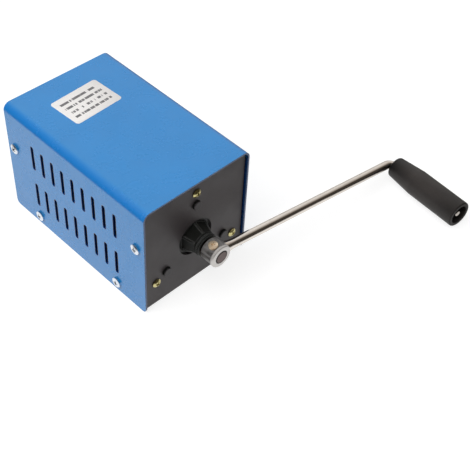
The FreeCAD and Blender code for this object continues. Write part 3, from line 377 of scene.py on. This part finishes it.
def metal(name, colour, roughness, brush=(1.0, 1.0, 1.0), brush_mm=0.25, brush_depth_mm=0.002, tint=None,
          metallic=1.0, patches=()):
    """Metal with a drift in tone, fine brush marks stretched by brush, and brighter edges, a painted
    highlight.
    """
    material, tree, shader = surface(name)
    shader.inputs["Metallic"].default_value = metallic
    clouds = tree.noise(3.0, 4.0, 0.65)
    other = rgb(*tint) if tint else scaled(colour, 0.8)
    ground = tree.mix(tree.span(clouds, 0.38, 0.68), rgb(*colour), other)
    # Brighter edges are a painted highlight
    edge = tree.both(tree.edge_mask(0.25, 0.35), 0.5)
    edge_highlight = rgb(*(min(1.0, part * 1.2 + 0.03) for part in colour))
    ground = tree.mix(edge, ground, edge_highlight)
    tree.put(shader.inputs["Base Color"], add_patches(tree, ground, patches))
    lines = tree.noise(brush_mm, 3.0, 0.6, tree.stretched(brush))
    tree.put(shader.inputs["Roughness"], tree.span(lines, 0.3, 0.7, roughness * 0.8, roughness * 1.25))
    tree.put(shader.inputs["Normal"], tree.bump(lines, brush_depth_mm, tree.soft_edge(0.15)))
    return material


def chrome():
    """Nickel-chrome plate with faint polishing lines, a haze and a few pits.

    It is mirror-like on the rod. Round the main axis it is duller: painted streaks of reflection and
    painted shade on the sleeve, even and pale on the eye's face.
    """
    material, tree, shader = surface("crank_chrome")
    haze = tree.noise(6.0, 4.0, 0.6)
    plate = tree.mix(tree.span(haze, 0.3, 0.7), rgb(0.75, 0.695, 0.635), rgb(0.67, 0.62, 0.565))
    pits = tree.span(tree.noise(0.45, 1.0, 0.5), 0.74, 0.8)
    plate = tree.mix(tree.math("MULTIPLY", pits, 0.5), plate, rgb(0.2, 0.18, 0.16))
    lines = tree.noise(0.3, 3.0, 0.7, tree.stretched((0.06, 1.0, 1.0)))
    polish = tree.span(lines, 0.3, 0.75, 0.09, 0.2)
    near_axis = tree.math("LESS_THAN", tree.from_main_axis(), SLEEVE_REACH * MM)
    on_sleeve = tree.both(near_axis, tree.math("GREATER_THAN", tree.axis("Y"), SLEEVE_FRONT * MM))
    on_eye = tree.math("SUBTRACT", near_axis, on_sleeve)
    dull = tree.math("MULTIPLY", near_axis, SLEEVE_DULLNESS)
    tree.put(shader.inputs["Roughness"], tree.math("ADD", polish, dull))
    tree.put(shader.inputs["Metallic"], tree.span(near_axis, 0.0, 1.0, 1.0, SLEEVE_METAL))
    # Painted reflections in streaks, and painted shade darker to the left, on the sleeve
    reflection_streaks = tree.span(tree.noise(2.4, 2.0, 0.5, tree.stretched((1.0, 0.3, 1.0))), 0.36, 0.64, 0.0, 0.5)
    lit = tree.span(tree.axis("X"), *(place * MM for place in SLEEVE_SHADED), to_high=0.5)
    plate = tree.mix(on_sleeve, plate, tree.mix(tree.math("ADD", reflection_streaks, lit), SLEEVE_DARK, SLEEVE_LIGHT))
    plate = tree.mix(on_eye, plate, EYE_FACE)
    tree.put(shader.inputs["Base Color"], plate)
    waves = tree.math("ADD", tree.noise(3.5, 2.0, 0.5), tree.math("MULTIPLY", lines, 0.12))
    tree.put(shader.inputs["Normal"], tree.bump(waves, 0.03, tree.soft_edge(0.3), 0.6))
    return material


def circuit_board():
    """Solder mask over copper tracks, with the bare glass fibre at the cut edges."""
    material, tree, shader = surface("board_green")
    cells = tree.add("ShaderNodeTexBrick", {
        "Vector": tree.stretched((1.0, 1.0, 0.0)), "Scale": 1.0 / (9.0 * MM), "Mortar Size": 0.05,
        "Color1": rgb(0.012, 0.12, 0.04), "Color2": rgb(0.02, 0.17, 0.06), "Mortar": rgb(0.004, 0.06, 0.02),
    })
    tree.put(shader.inputs["Base Color"], tree.mix(
        tree.edge_mask(0.3, 0.4), cells.outputs["Color"], rgb(0.35, 0.34, 0.18)))
    tree.put(shader.inputs["Roughness"], tree.span(tree.noise(2.0), 0.3, 0.7, 0.22, 0.38))
    tree.put(shader.inputs["Normal"], tree.bump(cells.outputs["Fac"], 0.03))
    return material


def laminations():
    """Stacked sheets along the main axis, in soft bands."""
    material, tree, shader = surface("core_steel")
    shader.inputs["Metallic"].default_value = 0.7
    inputs = {"Vector": tree.where(), "Scale": CORE_WAVE_SCALE, "Distortion": 0.0}
    sheets = tree.add("ShaderNodeTexWave", inputs, bands_direction="Y").outputs["Fac"]
    tree.put(shader.inputs["Base Color"], tree.mix(sheets, rgb(0.08, 0.08, 0.085), rgb(0.2, 0.2, 0.21)))
    tree.put(shader.inputs["Roughness"], tree.span(tree.noise(1.0), 0.3, 0.7, 0.35, 0.55))
    tree.put(shader.inputs["Normal"], tree.bump(sheets, 0.04))
    return material


def windings():
    """Enamelled wire laid along the slots."""
    material, tree, shader = surface("copper_wire")
    shader.inputs["Metallic"].default_value = 0.9
    strands = tree.noise(0.5, 2.0, 0.5, tree.stretched((1.0, 0.08, 1.0)))
    colour = tree.mix(tree.span(strands, 0.35, 0.65), rgb(0.28, 0.07, 0.02), rgb(0.78, 0.34, 0.14))
    tree.put(shader.inputs["Base Color"], colour)
    tree.put(shader.inputs["Roughness"], tree.span(strands, 0.3, 0.7, 0.4, 0.22))
    tree.put(shader.inputs["Normal"], tree.bump(strands, 0.2))
    return material


def label_paper(centre, turn):
    """Matt white film with four rows of plain grey bars, in the label's own directions."""
    material, tree, shader = surface("label_film")
    moved = tree.vector_math("SUBTRACT", tree.where(), Vector(centre) * MM)[0]
    turned = {"Vector": moved, "Axis": (0.0, 0.0, 1.0), "Angle": -turn}
    local = tree.add("ShaderNodeVectorRotate", turned, rotation_type="AXIS_ANGLE")
    axes = tree.add("ShaderNodeSeparateXYZ", {0: local.outputs[0]})
    along, across = axes.outputs["X"], axes.outputs["Y"]
    offset = tree.math("ADD", across, LABEL_LINE_PITCH * MM * 2.0)
    phase = tree.math("MODULO", offset, LABEL_LINE_PITCH * MM)
    middle = tree.math("ABSOLUTE", tree.math("SUBTRACT", phase, LABEL_LINE_PITCH * MM / 2))
    edge = LABEL_LINE_WIDTH / 2 * MM
    soft = 0.05 * MM
    line = tree.span(middle, edge + soft, edge - soft)
    inside_y = tree.math("LESS_THAN", tree.math("ABSOLUTE", across), LABEL_LINE_PITCH * 2 * MM)
    inside_x = tree.math("LESS_THAN", tree.math("ABSOLUTE", along), LABEL_LINE_LENGTH / 2 * MM)
    mask = tree.both(line, tree.both(inside_x, inside_y))
    row = tree.math("FLOOR", tree.math("MULTIPLY", offset, 1.0 / (LABEL_LINE_PITCH * MM)))
    place = tree.add("ShaderNodeCombineXYZ", {"X": along, "Y": row}).outputs[0]
    mask = tree.both(mask, tree.span(tree.noise(LABEL_BAR, 1.0, 0.5, place), 0.43, 0.46))
    fibre = tree.noise(0.7, 3.0, 0.6)
    paper = tree.mix(tree.span(fibre, 0.3, 0.7), rgb(0.82, 0.79, 0.77), rgb(0.88, 0.86, 0.85))
    ink = tree.both(mask, tree.span(fibre, 0.2, 0.6, 0.75, 1.0))
    tree.put(shader.inputs["Base Color"], tree.mix(ink, paper, rgb(0.11, 0.11, 0.115)))
    tree.put(shader.inputs["Roughness"], tree.span(fibre, 0.3, 0.7, 0.5, 0.62))
    tree.put(shader.inputs["Normal"], tree.bump(fibre, 0.01))
    return material


def soft_pvc(name, colour):
    """The wires' soft insulation."""
    material, tree, shader = surface(name)
    cloud = tree.noise(2.0, 3.0, 0.6)
    ground = tree.mix(tree.span(cloud, 0.3, 0.7), rgb(*colour), scaled(colour, 0.7))
    tree.put(shader.inputs["Base Color"], ground)
    tree.put(shader.inputs["Roughness"], tree.span(cloud, 0.3, 0.7, 0.4, 0.5))
    tree.put(shader.inputs["Normal"], tree.bump(cloud, 0.02))
    return material


# Pieces made here

LABEL_CENTRE = (-1.9, 32.4, CASE_TOP)
LABEL_TURN = math.radians(3.0)
LABEL_SIZE = (35.0, 25.0)
LABEL_CORNER = 2.0
LABEL_THICK = 0.12
LABEL_RIM = 0.08
LABEL_SHOULDER = 0.6
LABEL_CORNER_STEPS = 10
LABEL_LINE_PITCH = 4.6
LABEL_LINE_WIDTH = 1.9
LABEL_LINE_LENGTH = 28.0
LABEL_BAR = 1.8

SHARP_FROM = 35.0
SCREW_SEGMENTS = 48
SCREW_SHANK = 1.48
SCREW_POINT = (0.25, 0.3)
DOME_STEPS = 9
HEAD_FOOT = 0.12
COVER_SCREW_LENGTH = 6.0
PLATE_SCREW_LENGTH = 14.0
PAN_HEAD = (2.9, 1.9, 0.6)
TRUSS_HEAD = (3.3, 1.7, 1.1)
SET_HEAD = (2.9, 1.9, 1.2)
RECESS_REACH = 1.9
RECESS_HALF_WIDTH = 0.52
RECESS_DEPTH = 1.3
BLADE_TOP = (0.6, 0.25, 0.03)
BLADE_FOOT = (0.42, 0.7)
SET_SCREW_SEAT = 6.55
SET_SCREW_LENGTH = 2.7

SIDE_SCREWS = ((-55.5, 50.0), (55.5, 50.0), (-37.0, 6.4), (37.0, 6.4))
PLATE_SCREW_CIRCLE = 35.0
CRANK_MID = -77.65
SET_SCREW_TURN = 105.15

# Where each cross recess came to rest, in degrees
COVER_SPIN = 20.0
COVER_SPIN_STEP = 37.0
COVER_SPIN_SIDE = 11.0
PLATE_SPIN = 15.0
PLATE_SPIN_STEP = 50.0
SET_SCREW_SPIN = 30.0


def new_piece(name, mesh, material, body):
    piece = bpy.data.objects.new(name, mesh)
    bpy.context.scene.collection.objects.link(piece)
    mesh.materials.append(material)
    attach(piece, body)
    return piece


def smooth(mesh):
    mesh.polygons.foreach_set("use_smooth", [True] * len(mesh.polygons))
    mesh.set_sharp_from_angle(angle=math.radians(SHARP_FROM))


def lathe(profile, segments):
    """A closed mesh turned round Z from (radius, z) points whose first and last lie on the axis."""
    shape = bmesh.new()
    rings = []
    for radius, z in profile:
        if radius == 0:
            rings.append([shape.verts.new((0, 0, z))])
            continue
        turns = [2 * math.pi * i / segments for i in range(segments)]
        rings.append([shape.verts.new((radius * math.cos(a), radius * math.sin(a), z)) for a in turns])
    for lower, upper in zip(rings, rings[1:]):
        for i in range(segments):
            j = (i + 1) % segments
            corners = [lower[i % len(lower)], lower[j % len(lower)]]
            corners += [upper[j % len(upper)], upper[i % len(upper)]]
            shape.faces.new(list(dict.fromkeys(corners)))
    bmesh.ops.recalc_face_normals(shape, faces=shape.faces)
    mesh = bpy.data.meshes.new("lathe")
    shape.to_mesh(mesh)
    shape.free()
    return mesh


def recess_cutter(height):
    """One tapered blade of the cross recess, as deep as the recess below height."""
    shape = bmesh.new()
    above, longer, wider = BLADE_TOP
    reach_left, width_left = BLADE_FOOT
    levels = (
        (height + above, RECESS_REACH + longer, RECESS_HALF_WIDTH + wider),
        (height - RECESS_DEPTH, RECESS_REACH * reach_left, RECESS_HALF_WIDTH * width_left),
    )
    rings = []
    for z, reach, half in levels:
        corners = ((-reach, -half), (reach, -half), (reach, half), (-reach, half))
        rings.append([shape.verts.new((x, y, z)) for x, y in corners])
    top, bottom = rings
    shape.faces.new(top)
    shape.faces.new(bottom[::-1])
    for i in range(4):
        j = (i + 1) % 4
        shape.faces.new((top[j], top[i], bottom[i], bottom[j]))
    bmesh.ops.recalc_face_normals(shape, faces=shape.faces)
    mesh = bpy.data.meshes.new("blade")
    shape.to_mesh(mesh)
    shape.free()
    return mesh


def screw_mesh(length, head):
    """A screw with a cross recess along +Z, its head's underside at z = 0.

    head is (radius, height, height of its straight rim).
    """
    head_radius, head_height, rim = head
    dome = head_height - rim
    crown = (head_radius ** 2 + dome ** 2) / (2 * dome)
    full = math.asin(head_radius / crown)
    point_width, point_length = SCREW_POINT
    profile = [(0, -length), (SCREW_SHANK - point_width, -length)]
    profile += [(SCREW_SHANK, point_length - length), (SCREW_SHANK, 0)]
    profile += [(head_radius - HEAD_FOOT, 0), (head_radius, HEAD_FOOT), (head_radius, rim)]
    for i in range(1, DOME_STEPS):
        a = full * (1 - i / DOME_STEPS)
        profile.append((crown * math.sin(a), head_height - crown + crown * math.cos(a)))
    profile.append((0, head_height))
    body = bpy.data.objects.new("screw_blank", lathe(profile, SCREW_SEGMENTS))
    blades = []
    for turn in (0.0, math.pi / 2):
        blade = bpy.data.objects.new("screw_blade", recess_cutter(head_height))
        blade.matrix_world = Matrix.Rotation(turn, 4, "Z")
        blades.append(blade)
    for thing in [body] + blades:
        bpy.context.scene.collection.objects.link(thing)
    for blade in blades:
        cut = body.modifiers.new("cut", "BOOLEAN")
        cut.operation = "DIFFERENCE"
        cut.solver = "EXACT"
        cut.object = blade
    bpy.context.view_layer.update()
    graph = bpy.context.evaluated_depsgraph_get()
    mesh = bpy.data.meshes.new_from_object(body.evaluated_get(graph))
    for thing in [body] + blades:
        bpy.data.objects.remove(thing)
    return mesh


def placed_copies(name, source, places):
    """One mesh with a copy of source at each place, given as (position, direction, spin)."""
    shape = bmesh.new()
    for position, direction, spin in places:
        copy = source.copy()
        turn = Vector(direction).to_track_quat("Z", "Y").to_matrix().to_4x4()
        move = Matrix.Translation(Vector(position) * MM) @ turn @ Matrix.Rotation(spin, 4, "Z")
        copy.transform(move @ Matrix.Scale(MM, 4))
        shape.from_mesh(copy)
        bpy.data.meshes.remove(copy)
    mesh = bpy.data.meshes.new(name)
    shape.to_mesh(mesh)
    shape.free()
    smooth(mesh)
    return mesh


def add_cover_screws(material):
    """The cover's screws, four in each side, each turned its own way."""
    source = screw_mesh(COVER_SCREW_LENGTH, TRUSS_HEAD)
    places = []
    for side in (-1, 1):
        for i, (y, z) in enumerate(SIDE_SCREWS):
            spin = math.radians(COVER_SPIN + COVER_SPIN_STEP * i + COVER_SPIN_SIDE * side)
            places.append(((side * HALF_WIDTH, y, z), (side, 0, 0), spin))
    mesh = placed_copies("cover_screw_set", source, places)
    piece = new_piece("cover_screw_set", mesh, material, "case")
    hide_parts("cover_screws")


def add_plate_screws(material):
    """The gearbox's three screws in the front plate, each turned its own way."""
    source = screw_mesh(PLATE_SCREW_LENGTH, PAN_HEAD)
    places = []
    for i, degrees in enumerate(THIRDS):
        a = math.radians(degrees)
        x = PLATE_SCREW_CIRCLE * math.cos(a)
        z = AXIS_Z + PLATE_SCREW_CIRCLE * math.sin(a)
        spin = math.radians(PLATE_SPIN + PLATE_SPIN_STEP * i)
        places.append(((x, PLATE_FRONT, z), (0, -1, 0), spin))
    mesh = placed_copies("plate_screw_set", source, places)
    piece = new_piece("plate_screw_set", mesh, material, "case")
    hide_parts("plate_screws")


def add_set_screw(material):
    """The crank's radial screw, square to the shaft at the middle of the boss."""
    source = screw_mesh(SET_SCREW_LENGTH, SET_HEAD)
    a = math.radians(SET_SCREW_TURN)
    way = (math.cos(a), 0, math.sin(a))
    seat = (way[0] * SET_SCREW_SEAT, CRANK_MID, AXIS_Z + way[2] * SET_SCREW_SEAT)
    mesh = placed_copies("boss_screw", source, [(seat, way, math.radians(SET_SCREW_SPIN))])
    piece = new_piece("boss_screw", mesh, material, "crank")
    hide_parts("crank_set_screw")


def rounded_outline(width, height, radius, steps):
    points = []
    for quarter in range(4):
        cx = (width / 2 - radius) * (1 if quarter in (0, 3) else -1)
        cy = (height / 2 - radius) * (1 if quarter in (0, 1) else -1)
        for i in range(steps + 1):
            a = math.pi / 2 * (quarter + i / steps)
            points.append((cx + radius * math.cos(a), cy + radius * math.sin(a)))
    return points


def add_label():
    """Thin film on the top, with rounded corners and a softened rim."""
    shape = bmesh.new()
    levels = ((0.0, 0.0), (0.0, LABEL_THICK * LABEL_SHOULDER), (-LABEL_RIM, LABEL_THICK))
    rings = []
    for inset, z in levels:
        width, height = (size + 2 * inset for size in LABEL_SIZE)
        outline = rounded_outline(width, height, LABEL_CORNER + inset, LABEL_CORNER_STEPS)
        rings.append([shape.verts.new((x * MM, y * MM, z * MM)) for x, y in outline])
    count = len(rings[0])
    for lower, upper in zip(rings, rings[1:]):
        for i in range(count):
            j = (i + 1) % count
            shape.faces.new((lower[i], lower[j], upper[j], upper[i]))
    shape.faces.new(rings[-1])
    shape.faces.new(rings[0][::-1])
    mesh = bpy.data.meshes.new("label")
    shape.to_mesh(mesh)
    shape.free()
    mesh.transform(Matrix.Translation(Vector(LABEL_CENTRE) * MM) @ Matrix.Rotation(LABEL_TURN, 4, "Z"))
    smooth(mesh)
    piece = bpy.data.objects.new("top_label", mesh)
    bpy.context.scene.collection.objects.link(piece)
    mesh.materials.append(label_paper(LABEL_CENTRE, LABEL_TURN))
    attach(piece, "case")


# Finishes of the CAD nodes

BLACK_STEEL = (0.14, 0.105, 0.10)


def case_finishes():
    return {
        "cover": powder_coat(
            "cover_paint", (0.0105, 0.226, 0.58), (0.06, 0.30, 0.64), 0.26, 0.78, 1.1, 0.005,
            patches=(shaded_bends, slot_rims, inner_walls, end_rims)),
        "chassis": powder_coat(
            "chassis_paint", (0.055, 0.047, 0.049), (0.065, 0.055, 0.058), 0.42, 0.32, 0.7, 0.02),
    }


def gearbox_finishes(gold):
    plastic = moulded_plastic("gearbox_plastic", (0.006, 0.007, 0.006), 0.42, 0.35, 0.5, 0.015)
    gear = metal("gear_steel", (0.42, 0.42, 0.43), 0.34, (1.0, 0.2, 1.0))
    pin = metal("shaft_steel", BLACK_STEEL, 0.42, brush_mm=0.5, brush_depth_mm=0.02)
    finishes = {
        "gearbox_front_cover": moulded_plastic(
            "boss_plastic", (0.0085, 0.0095, 0.008), 0.4, 0.3, 0.5, 0.015, edge_wear_and_highlight=0.2, edge_mm=1.2,
            patches=(peg_faces,)),
        "gearbox_housing": plastic,
        "gearbox_rear_plate": plastic,
        "gearbox_rear_screws": gold,
        "ring_gear": gear,
        # The bush's dark tone is oil on the bronze, and painted shade where it shows in the gap round the
        # crank's boss
        "front_bush": metal("oiled_bronze_and_gap_shade", (0.10, 0.07, 0.04), 0.5),
        "input_shaft": metal(
            "shaft_end", BLACK_STEEL, 0.42, brush_mm=0.5, brush_depth_mm=0.02, patches=(shaft_edge,)),
        "input_carrier": gear,
        "input_planet_pins": pin,
        "output_carrier": gear,
        "output_planet_pins": pin,
        "output_sun": gear,
        "armature_shaft": pin,
    }
    for stage in ("input", "output"):
        for number in (1, 2, 3):
            finishes[f"{stage}_planet_{number}"] = gear
    return finishes


def generator_finishes(silver):
    cap = moulded_plastic("cap_plastic", (0.016, 0.016, 0.017), 0.4, 0.5, 0.5, 0.015)
    copper = metal("copper", (0.72, 0.38, 0.22), 0.35)
    return {
        "generator_can": metal("can_steel", (0.55, 0.56, 0.57), 0.3, (1.0, 0.1, 1.0)),
        "generator_screws": silver,
        "generator_magnets": moulded_plastic("magnet_ferrite", (0.03, 0.03, 0.033), 0.6, 0.4, 0.4, 0.03),
        "generator_bearings": metal("bush_bronze", (0.55, 0.36, 0.16), 0.4),
        "generator_end_cap": cap,
        "generator_terminals": copper,
        "armature_core": laminations(),
        "armature_windings": windings(),
        "commutator": copper,
        "brushes": moulded_plastic("carbon", (0.02, 0.02, 0.021), 0.5, 0.4, 0.3, 0.02),
        "dc_jack": cap,
    }


def electric_finishes(silver):
    return {
        "regulator_board": circuit_board(),
        "board_standoffs": metal("brass_posts", (0.75, 0.55, 0.22), 0.3),
        "board_screws": silver,
        "board_components": moulded_plastic("component_black", (0.02, 0.02, 0.022), 0.4, 0.5, 0.3, 0.01),
        "usb_socket": metal("socket_metal", (0.72, 0.73, 0.74), 0.28),
        "lead_red": soft_pvc("wire_red", (0.45, 0.015, 0.012)),
        "lead_black": soft_pvc("wire_black", (0.015, 0.015, 0.015)),
    }


def crank_finishes(silver, cream):
    return {
        "crank_arm": chrome(),
        "crank_set_screw": cream,
        "handle_grip": moulded_plastic(
            "handle_plastic", (0.036, 0.031, 0.0285), 0.46, 0.35, 0.55, 0.03, edge_wear_and_highlight=0.12, edge_mm=0.9,
            patches=(handle_ends, handle_recess)),
        "handle_washer": silver,
    }


def finish_nodes(silver, gold, cream):
    """Gives each CAD node that isn't replaced its own look."""
    finishes = case_finishes() | gearbox_finishes(gold) | generator_finishes(silver)
    finishes |= electric_finishes(silver) | crank_finishes(silver, cream)
    for node, material in finishes.items():
        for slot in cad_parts[node].material_slots:
            slot.material = material


# Stage and light

# The floor, the reaches of its mirror image and the lamps are in metres
FLOOR_SIZE = 6.0
FLOOR_DROP = 0.0002
FLOOR_TONE = 0.34
FLOOR_GLOW = 0.78
MIRRORED_FLOOR = (0.15, 0.32)
MIRRORED_LEFT = (0.115, 0.14)

WHITE = rgb(1.0, 1.0, 1.0)
ROOM_TINT = rgb(1.0, 0.86, 0.74)
ROOM_BLACK = 0.06
ROOM_DARK_TO = 0.85
ROOM_BRIGHT_FROM = 1.7
SKY_FILL = 0.25
SKY_SHOWN = 1.0


def seen_directly(tree):
    """1 for camera, mirror and transmission rays, and 0 for the rays that light the object."""
    path = tree.add("ShaderNodeLightPath")
    seen = tree.math("MAXIMUM", path.outputs["Is Camera Ray"], path.outputs["Is Glossy Ray"])
    return tree.math("MAXIMUM", seen, path.outputs["Is Transmission Ray"])


def add_floor():
    """A pale table. Mirrors see it near the part and a dark room beyond."""
    mesh = bpy.data.meshes.new("floor")
    half = FLOOR_SIZE / 2
    corners = [(-half, -half), (half, -half), (half, half), (-half, half)]
    mesh.from_pydata([(x, y, -FLOOR_DROP) for x, y in corners], [], [(0, 1, 2, 3)])
    floor = bpy.data.objects.new("floor", mesh)
    bpy.context.scene.collection.objects.link(floor)
    material = bpy.data.materials.new("floor_white")
    tree = Tree(material)
    cloud = tree.span(tree.noise(220.0), 0.3, 0.7, FLOOR_TONE - 0.01, FLOOR_TONE + 0.01)
    colour = tree.add("ShaderNodeCombineColor", {0: cloud, 1: cloud, 2: cloud}).outputs[0]
    board = tree.add("ShaderNodeBsdfDiffuse", {"Color": colour})
    glossy = tree.add("ShaderNodeLightPath").outputs["Is Glossy Ray"]
    strength = tree.both(seen_directly(tree), FLOOR_GLOW)
    glow = tree.add("ShaderNodeEmission", {"Color": WHITE, "Strength": strength})
    lit = tree.add("ShaderNodeAddShader", {0: board.outputs[0], 1: glow.outputs[0]})
    away = tree.vector_math("LENGTH", tree.where())["Value"]
    left = tree.math("MULTIPLY", tree.axis("X"), -1.0)
    beyond = tree.math("MAXIMUM", tree.span(away, *MIRRORED_FLOOR), tree.span(left, *MIRRORED_LEFT))
    dim = tree.both(beyond, glossy)
    dark = tree.add("ShaderNodeEmission", {"Color": ROOM_TINT, "Strength": ROOM_BLACK})
    shown = tree.add("ShaderNodeMixShader", {0: dim, 1: lit.outputs[0], 2: dark.outputs[0]})
    tree.add("ShaderNodeOutputMaterial", {"Surface": shown.outputs[0]})
    mesh.materials.append(material)


def add_sky():
    """White to the eye. Mirrors see a dark room that is bright high up at the rear right."""
    world = bpy.data.worlds.new("sky")
    bpy.context.scene.world = world
    tree = Tree(world)
    way = tree.add("ShaderNodeTexCoord").outputs["Generated"]
    rear_right = tree.vector_math("DOT_PRODUCT", way, (1.0, 1.0, 1.0))["Value"]
    dark = tree.span(rear_right, ROOM_DARK_TO, ROOM_BRIGHT_FROM, 1.0 - ROOM_BLACK, 0.0)
    mirrored = tree.both(dark, tree.add("ShaderNodeLightPath").outputs["Is Glossy Ray"])
    shown = tree.span(seen_directly(tree), 0.0, 1.0, SKY_FILL, SKY_SHOWN)
    level = tree.both(shown, tree.math("SUBTRACT", 1.0, mirrored))
    tint = tree.mix(mirrored, WHITE, ROOM_TINT)
    light = tree.add("ShaderNodeBackground", {"Color": tint, "Strength": level})
    tree.add("ShaderNodeOutputWorld", {"Surface": light.outputs[0]})


def add_softbox(name, at, size, power):
    """An area lamp aimed at the part, which mirrors don't show."""
    data = bpy.data.lights.new(name, "AREA")
    data.shape = "RECTANGLE"
    data.size, data.size_y = size
    data.energy = power
    lamp = bpy.data.objects.new(name, data)
    lamp.location = at
    lamp.rotation_mode = "QUATERNION"
    lamp.rotation_quaternion = (-Vector(at)).to_track_quat("-Z", "Y")
    lamp.visible_glossy = False
    bpy.context.scene.collection.objects.link(lamp)


def add_stage():
    add_floor()
    add_sky()
    add_softbox("key_left", (-0.85, 0.25, 1.5), (1.8, 1.8), 29.0)
    add_softbox("front_right", (0.9, -1.2, 0.7), (0.35, 0.35), 2.8)
    add_softbox("fill_left", (-1.3, 0.15, 0.4), (0.8, 0.5), 2.7)
    bpy.context.scene.view_settings.view_transform = "Standard"


add_camera()
zinc_plate = metal("zinc_screw", (0.80, 0.82, 0.84), 0.24, tint=(0.66, 0.70, 0.76))
yellow_plate = metal("yellow_screw", (0.66, 0.60, 0.28), 0.24, tint=(0.50, 0.44, 0.22))
# The set screw's pale cream tone is partly its amber plating and partly a painted glint
amber_plate_and_glint = metal("amber_screw", (0.98, 0.84, 0.64), 0.3, tint=(0.80, 0.58, 0.38), metallic=0.55)
finish_nodes(zinc_plate, yellow_plate, amber_plate_and_glint)
add_cover_screws(zinc_plate)
add_plate_screws(yellow_plate)
add_set_screw(amber_plate_and_glint)
add_label()
add_stage()
